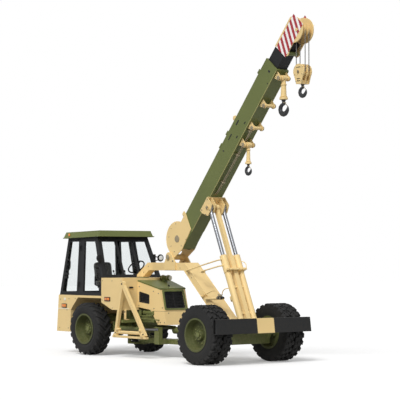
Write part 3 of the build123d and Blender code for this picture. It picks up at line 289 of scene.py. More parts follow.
# name, paint, worn paint; tone, wear, dirt, rough; bump, clear layer, shine, metal; dust
PLAIN = (
    ("beige_paint", BEIGE, (170, 140, 96), 0.04, 0.45, 0.35, 0.46, 0.06, 0.05, 0.36),
    ("olive_paint", OLIVE, (150, 146, 104), 0.07, 0.4, 0.4, 0.48, 0.06, 0.05, 0.32),
    # rims: a darker copy of the olive, painted shade inside the wheels' dish
    ("rim_paint", (72, 78, 40), (140, 138, 98), 0.08, 0.3, 0.18, 0.52, 0.06, 0, 0.3),
    # a lighter olive for bars along the boom's edges: a painted highlight
    ("edge_paint", (158, 154, 96), (190, 180, 130), 0.1, 0.5, 0.2, 0.44),
    ("pale_trim", (238, 232, 214), (210, 196, 168), 0.04, 0.3, 0.2, 0.4),
    ("black_paint", CHARCOAL, (96, 96, 94), 0.08, 0.3, 0.12, 0.5, 0.06, 0, 0.16),
    ("black_plastic", (31, 31, 32), (76, 76, 74), 0.08, 0.3, 0.12, 0.6, 0.22, 0, 0.16),
    ("tyre_rubber", (35, 35, 35), (56, 55, 53), 0.1, 0.25, 0.22, 0.66, 0.15, 0, 0.18, 0,
     (84, 80, 73)),
    ("forged_steel", (44, 45, 47), (112, 111, 108), 0.1, 0.6, 0.05, 0.42, 0.2, 0, 0.5, 0.4),
    ("bolt_steel", (150, 138, 112), (196, 190, 176), 0.1, 0.6, 0.3, 0.4, 0.06, 0, 0.5, 0.55),
    ("chrome", (124, 126, 130), (176, 176, 176), 0.16, 0.2, 0.05, 0.3, 0.02, 0, 0.5, 1.0),
    # pale lens glass: painted reflection of the white surround on mirror and gauge glass
    ("clear_lens", (226, 228, 226), (240, 240, 238), 0.06, 0.1, 0.2, 0.16, 0.06, 0.5),
)
for row in PLAIN:
    finish(*row)
print("finishes", len(coats))

# %% [markdown]
# The bumper beam is black with one light field in its middle, and the plates on the boom's head
# are red and white. Both are painted patterns, so they are masks on Object coordinates: a
# field is a distance from a line, and slanting stripes are the fraction of a slanting distance.

# %% Bumper beam and warning plates
FIELD_Y = 0.03
FIELD_HALF = 0.225
STRIPE_PITCH = 0.137
STRIPE_LEAN = radians(61)
RED_FROM = 0.47


def two_tone(aged, share, a, b):
    """Paint a where the share is 0 and paint b where it is 1."""
    colour = mixed(share, linear(a), linear(b))
    tree_of(colour).links.new(colour, aged.inputs["Paint"])


tree, aged, _ = finish(
    "bumper_paint", CHARCOAL, (96, 95, 92), 0.06, 0.4, 0.06, 0.54, shine=0.16)
across = put(tree, "SeparateXYZ", {0: object_place(tree)}).outputs[1]
off_middle = maths("ABSOLUTE", maths("SUBTRACT", across, FIELD_Y))
two_tone(aged, maths("LESS_THAN", off_middle, FIELD_HALF), CHARCOAL, BEIGE)

tree, aged, _ = finish("warning_paint", (250, 248, 244), (200, 190, 176), 0.03, 0.4, 0.15, 0.36)
from_pin = {0: object_place(tree), 1: BOOM.translation}
from_pin = put(tree, "VectorMath", from_pin, operation="SUBTRACT").outputs[0]
slant = BOOM.to_3x3() @ Vector((1, 0, -cos(STRIPE_LEAN) / sin(STRIPE_LEAN)))
run = put(tree, "VectorMath", {0: from_pin, 1: slant}, operation="DOT_PRODUCT").outputs[1]
part = maths("FRACT", maths("DIVIDE", run, STRIPE_PITCH))
two_tone(aged, maths("GREATER_THAN", part, RED_FROM), (246, 243, 240), (164, 32, 44))
print("stripes every", STRIPE_PITCH, "m")

# %% [markdown]
# Wire rope has a lay, an amber lens has ribs, seat vinyl is pebbled and the grille has a mesh
# behind its slats. Each is a fine texture that also feeds the bump. On the rope, the lens and
# the mesh it also paints light and shade into the colour: painted shade in the rope's grooves
# and a painted highlight on its strands, a painted sheen on the lens's ribs, and painted shade
# in the mesh's openings. Window glass is clear, with a faint smear, and bends light so little
# that a thin pane stays calm.

# %% Rope, glass, lenses, vinyl and mesh
def raised(relief, height, strength):
    tree_of(height).links.new(height, relief.inputs["Height"])
    relief.inputs["Strength"].default_value = strength


tree, aged, relief = finish(
    "rope_wire", (96, 95, 92), (150, 148, 142), 0.1, 0.2, 0.1, 0.45, metal=0.7)
lay = texture(tree, "Wave", 26.0, "Fac", bands_direction="DIAGONAL")
# The rope's colour follows its lay: painted shade in the grooves, a painted highlight on the strands.
two_tone(aged, lay, (60, 60, 58), (138, 136, 130))
raised(relief, lay, 0.5)

tree, aged, relief = finish(
    "amber_lens", (236, 128, 16), (244, 170, 80), 0.06, 0.1, 0.15, 0.22, clear=0.4)
ribs = texture(tree, "Wave", 22.0, "Fac", bands_direction="X")
# The lens's colour follows its ribs: a painted sheen on their crowns, painted shade between them.
two_tone(aged, ribs, (214, 98, 8), (246, 152, 32))
raised(relief, ribs, 0.06)

tree, aged, relief = finish("seat_vinyl", (44, 43, 42), (70, 68, 64), 0.12, 0.2, 0.25, 0.48)
raised(relief, texture(tree, "Voronoi", 260.0, "Distance"), 0.4)

tree, aged, relief = finish(
    "black_mesh", (30, 31, 32), (70, 70, 70), 0.06, 0.2, 0.04, 0.5, shine=0.18)
weave = texture(tree, "Voronoi", 70.0, "Distance", feature="DISTANCE_TO_EDGE")
holes = stepped(weave, 0.05, 0.16)
# The mesh's openings are darker than its wires: painted shade.
two_tone(aged, holes, (46, 47, 48), (18, 18, 19))
raised(relief, maths("SUBTRACT", 1.0, holes), 0.6)

glass = bpy.data.materials.new("window_glass")
coats["window_glass"] = glass
glass.use_nodes = True
tree = glass.node_tree
principled = tree.nodes["Principled BSDF"]
smear = texture(tree, "Noise", 3.0, inputs={"Detail": 4.0})
clear = mixed(smear, linear((240, 243, 243)), linear((246, 248, 248)))
tree.links.new(clear, principled.inputs["Base Color"])
for key, value in {"Roughness": 0.0, "Transmission Weight": 1.0, "IOR": 1.08}.items():
    principled.inputs[key].default_value = value
print("finishes", len(coats))

# %% [markdown]
# Each solid names a slot, and each slot has a finish. Most slots are named as their finish is,
# and a few solids have a finish of their own.

# %% Finishes onto the solids
SLOTS = {
    "tyre": "tyre_rubber", "steel_rod": "chrome", "glass": "window_glass", "rope": "rope_wire",
    "red_white": "warning_paint", "amber": "amber_lens",
}
OWN = {
    "bumper": "bumper_paint", "grille": "black_mesh", "head_sheaves": "beige_paint",
    **{hook: "forged_steel" for hook in ("main_hook", "big_hook", "small_hook")},
    # rims in the darker olive: painted shade
    **{f"front_rims_{name}": "rim_paint" for _, name in SIDES},
    **{f"rear_rim_{name}": "rim_paint" for _, name in SIDES},
}
slot_of = {part["node"]: part["material_slot"] for part in frame["record"]["subparts"]}
for name, solid in nodes.items():
    solid.data.materials.clear()
    solid.data.materials.append(coats[OWN.get(name, SLOTS.get(slot_of[name], slot_of[name]))])
print("dressed", len(nodes), "solids")

# %% [markdown]
# ## Modelling helpers
# Every new piece is built in one bmesh from operators: cubes and cones put in place by a
# matrix, bevels, and spins. `finished` turns it into an object that rides on a body.

# %% Ending a piece
def finished(name, bm, body, slot, material=None, sharp=35, merge=True):
    """Ends a bmesh as an object at the origin, smooth up to the sharp angle, on a body."""
    if merge:
        bmesh.ops.remove_doubles(bm, verts=bm.verts, dist=1e-5)
    bmesh.ops.recalc_face_normals(bm, faces=bm.faces)
    mesh = bpy.data.meshes.new(name)
    bm.to_mesh(mesh)
    bm.free()
    mesh.polygons.foreach_set("use_smooth", [True] * len(mesh.polygons))
    mesh.set_sharp_from_angle(angle=radians(sharp))
    mesh.materials.append(coats[material or SLOTS.get(slot, slot)])
    piece = bpy.data.objects.new(name, mesh)
    scene.collection.objects.link(piece)
    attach(piece, body)
    print(name, "faces", len(mesh.polygons), "on", body)
    return piece


# %% [markdown]
# Boxes and bars are most of what a machine is made of. Their edges are eased by `soft`. A bar
# that runs along X, Y or Z has a pair of values on that axis and one value on the others. Much
# is the same on both sides of the machine, so slabs, bars and bolts come in pairs too.

# %% Boxes, bars, bolts
def bevelled(bm, edges, offset, segments=2, clamp=True):
    bmesh.ops.bevel(
        bm, geom=edges, offset=offset, offset_type="OFFSET", affect="EDGES", segments=segments,
        profile=0.5, material=-1, clamp_overlap=clamp)


def span(middle, half):
    return (middle - half, middle + half)


def edges_of(verts):
    return list({edge for vert in verts for edge in vert.link_edges})


def box_in(bm, x, y, z, soft=0.003, place=GROUND):
    """A box between low and high values, its edges eased."""
    middle = Matrix.Translation([(a + b) / 2 for a, b in (x, y, z)])
    size = Matrix.Diagonal((x[1] - x[0], y[1] - y[0], z[1] - z[0], 1))
    made = bmesh.ops.create_cube(bm, size=1, matrix=place @ middle @ size)
    if soft:
        bevelled(bm, edges_of(made["verts"]), soft)


def rod_in(bm, start, end, radius, sides=20, soft=0.0, place=GROUND, end_radius=None):
    """A round bar between two points, the rims of its ends eased."""
    start, end = Vector(start), Vector(end)
    along = end - start
    turn = along.to_track_quat("Z", "Y").to_matrix().to_4x4()
    made = bmesh.ops.create_cone(
        bm, cap_ends=True, cap_tris=False, segments=sides, radius1=radius,
        radius2=radius if end_radius is None else end_radius, depth=along.length,
        matrix=place @ Matrix.Translation((start + end) / 2) @ turn)
    if soft:
        rims = [edge for edge in edges_of(made["verts"])
                if len(edge.link_faces) == 2 and max(len(f.verts) for f in edge.link_faces) > 4]
        bevelled(bm, rims, soft, clamp=False)


def bar_in(bm, x, y, z, radius, sides=20, soft=0.0, place=GROUND):
    """A round bar along the one axis whose value is a pair."""
    ends = [[v[end] if isinstance(v, tuple) else v for v in (x, y, z)] for end in (0, 1)]
    rod_in(bm, *ends, radius, sides, soft, place)


def slabs_in(bm, x, y, z, soft=0.003, place=GROUND):
    """The same box on both sides; y is its left side's."""
    for side in BOTH:
        box_in(bm, x, sorted(side * v for v in y), z, soft, place)


def bars_in(bm, x, y, z, *rest):
    """The same bar on both sides; y is its left side's."""
    for side in BOTH:
        bar_in(bm, x, tuple(side * v for v in y) if isinstance(y, tuple) else side * y, z, *rest)


def bolt_in(bm, at, out, size, place=GROUND):
    """A washer, a six-sided head and the end of the thread."""
    at, out = Vector(at), Vector(out).normalized()
    rod_in(bm, at - out * 0.002, at + out * 0.003, size * 0.95, 16, 0, place)
    rod_in(bm, at, at + out * size * 0.68, size * 0.58, 6, size * 0.04, place)
    rod_in(bm, at, at + out * size * 0.9, size * 0.26, 10, 0, place)


def bolts_in(bm, y, size, places, place=GROUND, sides=BOTH):
    """Bolts that face sideways at places along and up, as far out as y on each side."""
    for side in sides:
        for along, up_by in places:
            bolt_in(bm, (along, side * y, up_by), (0, side, 0), size, place)


# %% [markdown]
# A pipe is a curve through a few points with its corners rounded, turned into a mesh at once.

# %% Pipes
def pipe_in(bm, points, radius, place=GROUND, sides=4):
    """A bent steel pipe through the points."""
    line = bpy.data.curves.new("pipe_line", "CURVE")
    line.dimensions = "3D"
    line.bevel_depth = radius
    line.bevel_resolution = sides
    line.resolution_u = 5
    line.use_fill_caps = True
    spline = line.splines.new("NURBS")
    spline.points.add(len(points) - 1)
    for point, at in zip(spline.points, points):
        point.co = (*at, 1)
    spline.order_u = 3
    spline.use_endpoint_u = True
    holder = bpy.data.objects.new("pipe_line", line)
    scene.collection.objects.link(holder)
    shown = holder.evaluated_get(bpy.context.evaluated_depsgraph_get())
    mesh = bpy.data.meshes.new_from_object(shown)
    mesh.transform(place)
    bm.from_mesh(mesh)
    bpy.data.objects.remove(holder)
    bpy.data.curves.remove(line)
    bpy.data.meshes.remove(mesh)


# %% [markdown]
# ## Tyres
# The tyre's section is spun round the wheel's axis. A lug starts as a cube, cut across its
# length into stations, and each station is moved to its place on the crown: how far across,
# how far round, and how high. One lug is then spun round as copies.

# %% Tyre casing and lugs
CASING_STEPS = 96
FOOT_FLARE, TOP_TAPER = 1.08, 0.82
LUG_SOFT = 0.007
SHORTEST_SOFT = 0.012


def spun(bm, geom, angle, steps, copies=False):
    bmesh.ops.spin(
        bm, geom=geom, cent=(0, 0, 0), axis=(0, 1, 0), dvec=(0, 0, 0), angle=angle, steps=steps,
        use_merge=not copies, use_duplicate=copies)


def joined(bm, other, at):
    """Adds another bmesh, moved to a place, and frees it."""
    bmesh.ops.translate(other, verts=other.verts, vec=at)
    mesh = bpy.data.meshes.new("part")
    other.to_mesh(mesh)
    other.free()
    bm.from_mesh(mesh)
    bpy.data.meshes.remove(mesh)


def casing_in(bm, width, radius, rim, depth, at, side):
    """A tyre without its tread, spun about Y; at is the middle of its outer face."""
    base = radius - depth
    section = (
        (0.13, rim - 0.004), (0.06, rim + 0.012), (0.035, rim + 0.03), (0.05, rim + 0.036),
        (0.02, rim + 0.06), (0.0, 0.7 * radius), (0.0, 0.76 * radius), (0.012, 0.765 * radius),
        (0.004, 0.79 * radius), (0.02, 0.86 * radius), (0.05, base - 0.03),
        (0.1, base - 0.01), (0.18, base), (0.5, base + 0.003),
    )
    ring = [*section, *((1 - share, out) for share, out in reversed(section[:-1]))]
    tyre = bmesh.new()
    verts = [tyre.verts.new((0, -side * share * width, out)) for share, out in ring]
    edges = [tyre.edges.new(pair) for pair in zip(verts, verts[1:] + verts[:1])]
    spun(tyre, verts + edges, tau, CASING_STEPS)
    joined(bm, tyre, at)


def lugs_in(bm, stations, count, at, side, width, radius, turn=0.0, hand=1):
    """Lugs copied round the axis. A station is its share across the tyre, degrees round, the
    depths of its foot and its top under the tread's radius, and half its width."""
    lug = bmesh.new()
    bmesh.ops.create_cube(lug, size=1)
    length = [e for e in lug.edges if abs(e.verts[0].co.x - e.verts[1].co.x) > 0.5]
    bmesh.ops.subdivide_edges(lug, edges=length, cuts=len(stations) - 2)
    for vert in lug.verts:
        index = round((vert.co.x + 0.5) * (len(stations) - 1))
        share, degrees_round, foot, top, half = stations[index]
        is_top = vert.co.z > 0
        out = radius - (top if is_top else foot)
        wide = 2 * half * (TOP_TAPER if is_top else FOOT_FLARE)
        turned = turn + hand * radians(degrees_round) + vert.co.y * wide / out
        vert.co = (out * sin(turned), -side * share * width, out * cos(turned))
    soft = [e for e in lug.edges if e.calc_length() > SHORTEST_SOFT and e.is_convex]
    bevelled(lug, soft, LUG_SOFT, 1)
    geom = lug.verts[:] + lug.edges[:] + lug.faces[:]
    spun(lug, geom, tau * (count - 1) / count, count - 1, copies=True)
    joined(bm, lug, at)


# %% [markdown]
# The single tyres have long slanting bars. Each bar runs from the middle of the crown over the
# shoulder and down the wall. The bars of the two halves are half a pitch apart.

# %% Bar tyres
low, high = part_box("rear_tyre_right")
REAR_R = (high.z - low.z) / 2
REAR_W = high.y - low.y
REAR_Y = -low.y
REAR_X = (low.x + high.x) / 2
REAR_RIM = 0.313
REAR_DEPTH = 0.036
BAR_COUNT = 20
BAR = (
    (0.54, 0, 0.045, 0.001, 0.027), (0.4, 5, 0.045, 0.0, 0.031), (0.24, 11, 0.05, 0.002, 0.034),
    (0.09, 16, 0.07, 0.012, 0.038), (0.035, 18, 0.1, 0.04, 0.04),
    (0.03, 19, 0.125, 0.098, 0.036),
)
FAR_BAR = tuple((1 - share, *rest) for share, *rest in BAR)
for side, name in SIDES:
    at = Vector((REAR_X, side * REAR_Y, REAR_R))
    bm = bmesh.new()
    casing_in(bm, REAR_W, REAR_R, REAR_RIM, REAR_DEPTH, at, side)
    for bar, turn in ((BAR, 0.0), (FAR_BAR, pi / BAR_COUNT)):
        lugs_in(bm, bar, BAR_COUNT, at, side, REAR_W, REAR_R, turn, -1)
    tread = finished(f"rear_tread_{name}", bm, f"rear_wheel_{name}", "tyre")
    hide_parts(f"rear_tyre_{name}")

# %% [markdown]
# The twin tyres have a blocky tread: heavy shoulder blocks, and a row of smaller blocks between
# them, each row turned by a part of a pitch.

# %% Twin tyres
low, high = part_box("front_tyres_right")
FRONT_R = (high.z - low.z) / 2
FRONT_Y = -low.y
FRONT_W = 0.24
FRONT_RIM = 0.319
FRONT_DEPTH = 0.026
TWIN_STEP = FRONT_W + 0.014
BLOCK_COUNT = 23
BLOCK_FOOT = 0.035
SHOULDER = 0.1
SHOULDER_DROP = 0.014
# share across and degrees round at both ends of a row's block, half width, turn in pitches
BLOCK_ROWS = (
    ((0.03, 2.5), (0.3, -1.0), 0.05, 0.0),
    ((0.7, -1.0), (0.97, 2.5), 0.05, 0.5),
    ((0.335, 1.0), (0.665, -1.0), 0.046, 0.25),
)
for side, name in SIDES:
    bm = bmesh.new()
    for step in (0, 1):
        at = Vector((AXLE_X, side * (FRONT_Y - step * TWIN_STEP), FRONT_R))
        casing_in(bm, FRONT_W, FRONT_R, FRONT_RIM, FRONT_DEPTH, at, side)
        for start, end, half, turned in BLOCK_ROWS:
            middle = [(a + b) / 2 for a, b in zip(start, end)]
            stations = []
            for share, degrees_round in (start, middle, end):
                drop = SHOULDER_DROP if min(share, 1 - share) < SHOULDER else 0.0
                stations.append((share, degrees_round, BLOCK_FOOT + drop * 3, drop, half))
            turn = turned * tau / BLOCK_COUNT
            lugs_in(bm, stations, BLOCK_COUNT, at, side, FRONT_W, FRONT_R, turn)
    tread = finished(f"front_treads_{name}", bm, f"front_wheels_{name}", "tyre")
    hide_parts(f"front_tyres_{name}")

# %% [markdown]
# ## Wheel fittings
# Ten studs with nuts hold each wheel, and smaller bolts ring the hub cap. They are the same
# bolt, placed round the axle by a loop. A raised disc carries the studs. The disc and the rims
# are a darker copy of the olive paint: painted shade inside the wheel's dish.

# %% Wheel nuts and discs
def wheel_fittings(end, name, body, x, z, disc_y, hub_y, side):
    """Nuts and disc of one wheel; disc_y and hub_y say how far out their faces are."""
    bm = bmesh.new()
    rings = ((10, 0.172, disc_y, 0.0, 0.03), (8, 0.082, hub_y, 0.2, 0.018))
    for count, reach, y, turn, size in rings:
        for index in range(count):
            turned = tau * index / count + turn
            at = (x + reach * cos(turned), side * y, z + reach * sin(turned))
            bolt_in(bm, at, (0, side, 0), size)
    bar_in(bm, x, (side * hub_y, side * (hub_y + 0.022)), z, 0.052, 28, 0.006)
    finished(f"{end}_nuts_{name}", bm, body, "olive_paint")
    bm = bmesh.new()
    bar_in(bm, x, (side * (disc_y - 0.002), side * (disc_y + 0.01)), z, 0.205, 48, 0.003)
    finished(f"{end}_discs_{name}", bm, body, "olive_paint", "rim_paint")


for side, name in SIDES:
    front, rear = f"front_wheels_{name}", f"rear_wheel_{name}"
    wheel_fittings("front", name, front, 0, FRONT_R, FRONT_Y - 0.15, FRONT_Y - 0.08, side)
    rear_x = REAR_X - AXLE_X
    wheel_fittings("rear", name, rear, rear_x, REAR_R, REAR_Y - 0.19, REAR_Y - 0.12, side)

# %% [markdown]
# ## Boom
# Small fittings break up the long box: lifting eyes and rope guides on its back, pale bars along
# its lower edges that are a painted highlight, and dark plates of painted shade where service holes are in its
# sides.

# %% Boom fittings
BOOM_LOW, BOOM_BACK, BOOM_SIDE = -0.205, 0.195, 0.16
bm = bmesh.new()
# place along the boom, height, half length
for along, tall, half in ((4.62, 0.045, 0.05), (3.1, 0.04, 0.05), (2.78, 0.035, 0.06)):
    y, z = -BOOM_SIDE, BOOM_BACK
    box_in(bm, span(along, half), (y + 0.004, y + 0.024), (z - 0.02, z + tall), place=BOOM)
    wide = (y - 0.004, -y - 0.02)
    box_in(bm, span(along, half * 0.6), wide, (z - 0.004, z + 0.01), place=BOOM)
finished("boom_eyes", bm, "boom", "olive_paint")

bm = bmesh.new()
y = (BOOM_SIDE - 0.03, BOOM_SIDE - 0.012)
bars_in(bm, 3.47, y, BOOM_BACK + 0.03, 0.055, 28, 0.004, BOOM)
finished("rope_guides", bm, "boom", "beige_paint")

bm = bmesh.new()
# Pale olive bars along the lower edges: a painted highlight where the edges catch the light.
bars_in(bm, (0.86, 4.94), BOOM_SIDE - 0.002, BOOM_LOW + 0.002, 0.0085, 12, 0, BOOM)
finished("boom_edges", bm, "boom", "olive_paint", "edge_paint")

# Thin dark plates on the boom's sides: painted shade where service holes are.
# place along the boom, place across its side, half length, half height
HOLE_SHADE_PLATES = (
    (4.8, -0.04, 0.02, 0.03), (4.59, -0.15, 0.012, 0.012), (3.59, -0.1, 0.03, 0.014),
    (3.46, 0.085, 0.06, 0.018), (3.1, 0.08, 0.075, 0.014), (3.23, -0.09, 0.03, 0.014),
    (2.76, 0.06, 0.012, 0.02),
)
bm = bmesh.new()
for along, up_by, half, tall in HOLE_SHADE_PLATES:
    y = (BOOM_SIDE - 0.002, BOOM_SIDE + 0.0015)
    slabs_in(bm, span(along, half), y, span(up_by, tall), 0.0006, BOOM)
finished("service_holes", bm, "boom", "black_paint", "black_mesh")

# %% [markdown]
# Bolts and pins hold the hook brackets and the rods' bracket, and ring the cheeks of the foot.

# %% Bolts on the boom
HOOK_PLACES = (4.85, 4.18, 3.63, 3.21)
bm = bmesh.new()
for along in HOOK_PLACES:
    bars_in(bm, along, (0.14, 0.152), -0.323, 0.044, 28, 0.004, BOOM)
bolts_in(bm, 0.15, 0.02, [(along, -0.323) for along in HOOK_PLACES], BOOM)
for shift in (-0.055, 0.04):
    bolts_in(bm, 0.121, 0.012, [(along + shift, -0.235) for along in HOOK_PLACES], BOOM)
bolts_in(bm, 0.237, 0.018, ((1.46, -0.24), (1.74, -0.24), (1.47, -0.4), (1.62, -0.44)), BOOM)
bolts_in(bm, 0.25, 0.034, ((1.62, -0.35),), BOOM)
bolts_in(bm, 0.176, 0.012, (
    (0.2, 0.12), (0.3, 0.3), (0.48, 0.36), (0.66, 0.3), (0.18, -0.04), (0.42, -0.14),
    (0.62, -0.17), (0.95, 0.22)), BOOM)
bars_in(bm, 0.445, (0.176, 0.184), 0.061, 0.075, 32, 0.003, BOOM)
finished("boom_bolts", bm, "boom", "beige_paint", "bolt_steel")

# %% [markdown]
# A pair of steel pipes runs under the boom from the rods' bracket to the hook brackets. The drum
# between the foot's cheeks is full of wound rope: two layers of rings, half a rope apart.

# %% Boom pipes and wound rope
bm = bmesh.new()
for y in (-0.075, -0.043):
    line = ((3.66, -0.215), (3.58, -0.235), (3.5, -0.262), (3.3, -0.262), (2.4, -0.25),
            (1.95, -0.245), (1.85, -0.215))
    pipe_in(bm, [(along, y, z) for along, z in line], 0.008, BOOM)
for along in (3.5, 2.9, 2.2):
    box_in(bm, span(along, 0.012), (-0.1, -0.02), (-0.272, -0.203), place=BOOM)
finished("boom_pipes", bm, "boom", "rope", "bolt_steel")

ROPE_R = 0.009
bm = bmesh.new()
upright = Matrix.Rotation(pi / 2, 4, "Y")
for first_y, radius in ((-0.126, 0.176), (-0.126 + ROPE_R, 0.19)):
    for index in range(15):
        y = first_y + index * 2 * ROPE_R
        if y > 0.13:
            continue
        place = Matrix.Translation((0, y, radius)) @ upright
        ring = bmesh.ops.create_circle(
            bm, cap_ends=False, radius=ROPE_R, segments=8, matrix=place)["verts"]
        spun(bm, ring + edges_of(ring), tau, 40)
bmesh.ops.translate(bm, verts=bm.verts, vec=joints["winch_drum_turn"]["pos_m"])
finished("drum_rope", bm, "winch_drum", "rope")

# %% [markdown]
# ## Cab
# Round mirrors stand on arms from the front pillars, and a rail goes round the roof's lower
# edge, with a small round marker at each rear corner. The side walls lean in as they rise.

# %% Mirrors and roof rail
def wall_y(z):
    """Outer face of the cab's side wall at a height."""
    return 0.843 - (z - 1.29) * 0.1219


MIRROR_Y, MIRROR_Z = 0.835, 2.108
bm = bmesh.new()
for side in BOTH:
    for x, z, arm_z, radius in ((-3.83, 2.14, 2.12, 0.012), (-3.84, 2.02, 2.09, 0.01)):
        foot = (x, side * (wall_y(z) - 0.02), z)
        rod_in(bm, foot, (-3.7, side * MIRROR_Y, arm_z), radius)
bars_in(bm, (-3.73, -3.69), MIRROR_Y, MIRROR_Z, 0.082, 36, 0.014)
slabs_in(bm, (-3.86, -3.8), (0.735, 0.775), (1.98, 2.19), 0.006)
finished("mirrors", bm, "rear", "black_plastic")

# The mirror glass is drawn pale: painted reflection.
bm = bmesh.new()
bars_in(bm, (-3.734, -3.728), MIRROR_Y, MIRROR_Z, 0.068, 36, 0.002)
bar_in(bm, (-3.694, -3.686), MIRROR_Y, MIRROR_Z, 0.054, 36, 0.003)
finished("mirror_glass", bm, "rear", "steel_rod", "clear_lens")

bm = bmesh.new()
rear, front = (-5.205, 2.548), (-3.852, 2.583)
corners = [(x, y, z) for (x, z), y in ((rear, -0.76), (front, -0.76), (front, 0.76), (rear, 0.76))]
for start, end in zip(corners, corners[1:] + corners[:1]):
    rod_in(bm, start, end, 0.01, 12)
for y in (-0.706, 0.706):
    rod_in(bm, (-3.9, y, 2.7), (-5.15, y, 2.672), 0.006, 10)
bars_in(bm, -4.997, (0.7, 0.738), 2.619, 0.044, 28, 0.004)
finished("roof_rail", bm, "rear", "olive_paint")

# %% [markdown]
# Each amber lamp sits in a black seat and has a raised lens; the front lamps' lenses have a seam across their
# middle.

# %% Lamps
# x and z of a lamp's middle, y of its face and of its seat, half sizes of its lens and its seat
LAMP_ROWS = (
    (-3.412, 1.2275, 0.856, 0.84, (0.084, 0.029), (0.102, 0.044)),
    (-5.016, 1.051, 0.866, 0.85, (0.079, 0.03), (0.093, 0.044)),
)
lenses, seats = bmesh.new(), bmesh.new()
bars_in(lenses, -4.997, (0.73, 0.752), 2.619, 0.033, 28, 0.008)
for x, z, face, back, lens, seat in LAMP_ROWS:
    slabs_in(lenses, span(x, lens[0]), (face - 0.002, face + 0.006), span(z, lens[1]), 0.004)
    slabs_in(seats, span(x, seat[0]), (back - 0.001, back + 0.017), span(z, seat[1]), 0.004)
slabs_in(seats, (-3.418, -3.41), (0.85, 0.864), (1.199, 1.256), 0.001)
finished("lamp_lenses", lenses, "rear", "amber")
finished("lamp_seats", seats, "rear", "black_plastic")

# %% [markdown]
# The door has a loop to pull it by, and two latches under the loop.

# %% Door furniture
bm = bmesh.new()
outside = -wall_y(1.96) - 0.002
# x, how far out of the wall, z
LOOP = (
    (-5.072, -0.012, 1.835), (-5.000, 0.03, 1.838), (-4.885, 0.034, 1.85),
    (-4.872, 0.034, 1.96), (-4.872, 0.032, 2.055), (-4.97, 0.028, 2.075),
    (-5.066, -0.016, 2.075),
)
pipe_in(bm, [(x, outside - out, z) for x, out, z in LOOP], 0.011)
for z in (1.755, 1.68):
    y = -wall_y(z)
    x = -5.118 + (z - 1.32) * 0.087
    box_in(bm, (x - 0.022, x + 0.15), (y - 0.016, y + 0.004), span(z, 0.024), 0.004)
    bar_in(bm, x + 0.13, (y - 0.014, y - 0.042), z, 0.022, 20, 0.003)
finished("door_handle", bm, "door", "black_plastic")

# %% [markdown]
# The window edges carry a rubber strip. Its line follows each opening's corners, so it is a
# thin bar along each edge, on the wall's outer face.

# %% Window strips
SIDE_WINDOW = (
    (-4.32, 1.365), (-3.73, 1.365), (-3.73, 1.69), (-4.06, 2.475), (-4.46, 2.475))
REAR_SIDE_WINDOW = ((-5.106, 1.365), (-4.56, 1.365), (-4.665, 2.475), (-5.01, 2.475))


def strip_in(bm, corners, side):
    for (xa, za), (xb, zb) in zip(corners, corners[1:] + corners[:1]):
        rod_in(bm, (xa, side * wall_y(za), za), (xb, side * wall_y(zb), zb), 0.007, 10)


bm = bmesh.new()
for side in BOTH:
    strip_in(bm, SIDE_WINDOW, side)
strip_in(bm, REAR_SIDE_WINDOW, 1)
finished("window_strips", bm, "rear", "black_plastic")
bm = bmesh.new()
strip_in(bm, REAR_SIDE_WINDOW, -1)
finished("door_window_strip", bm, "door", "black_plastic")

# %% [markdown]
# ## Seat
# The seat stands on a bellows between two plates, with a lever and a hinge at each side.

# %% Seat base
SEAT_Y = 0.11
bm = bmesh.new()
for z in (1.335, 1.365, 1.395, 1.425):
    box_in(bm, (-4.835, -4.575), span(SEAT_Y, 0.165), span(z, 0.016), 0.013)
box_in(bm, (-4.85, -4.56), span(SEAT_Y, 0.18), (1.29, 1.322), 0.005)
box_in(bm, (-4.85, -4.56), span(SEAT_Y, 0.18), (1.438, 1.478), 0.006)
box_in(bm, (-4.885, -4.47), span(SEAT_Y, 0.215), (1.476, 1.505), 0.01)
for side in BOTH:
    y = SEAT_Y + side * 0.185
    bar_in(bm, (-4.6, -4.53), y, 1.458, 0.012)
    rod_in(bm, (-4.53, y, 1.458), (-4.5, y, 1.475), 0.018)
    y = sorted((SEAT_Y + side * 0.2, SEAT_Y + side * 0.232))
    box_in(bm, (-4.9, -4.84), y, (1.5, 1.7), 0.008)
base = finished("seat_base", bm, "rear", "black_plastic")
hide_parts("seat")

# %% [markdown]
# Both cushions are crowned: full in the middle, their sides pulled in between the corners, with
# sewn channels across and along, and a welt round the edge.

# %% Seat cushions
SQUARENESS = 5
WAIST = 0.05
CHANNEL_SHARE, CHANNEL_WIDE = 0.011 / 0.065, 0.045
SEAM_AT, SEAM_DEPTH, SEAM_WIDE = 0.66, 0.009, 0.035
WELT_R, WELT_STEPS = 0.0055, 40


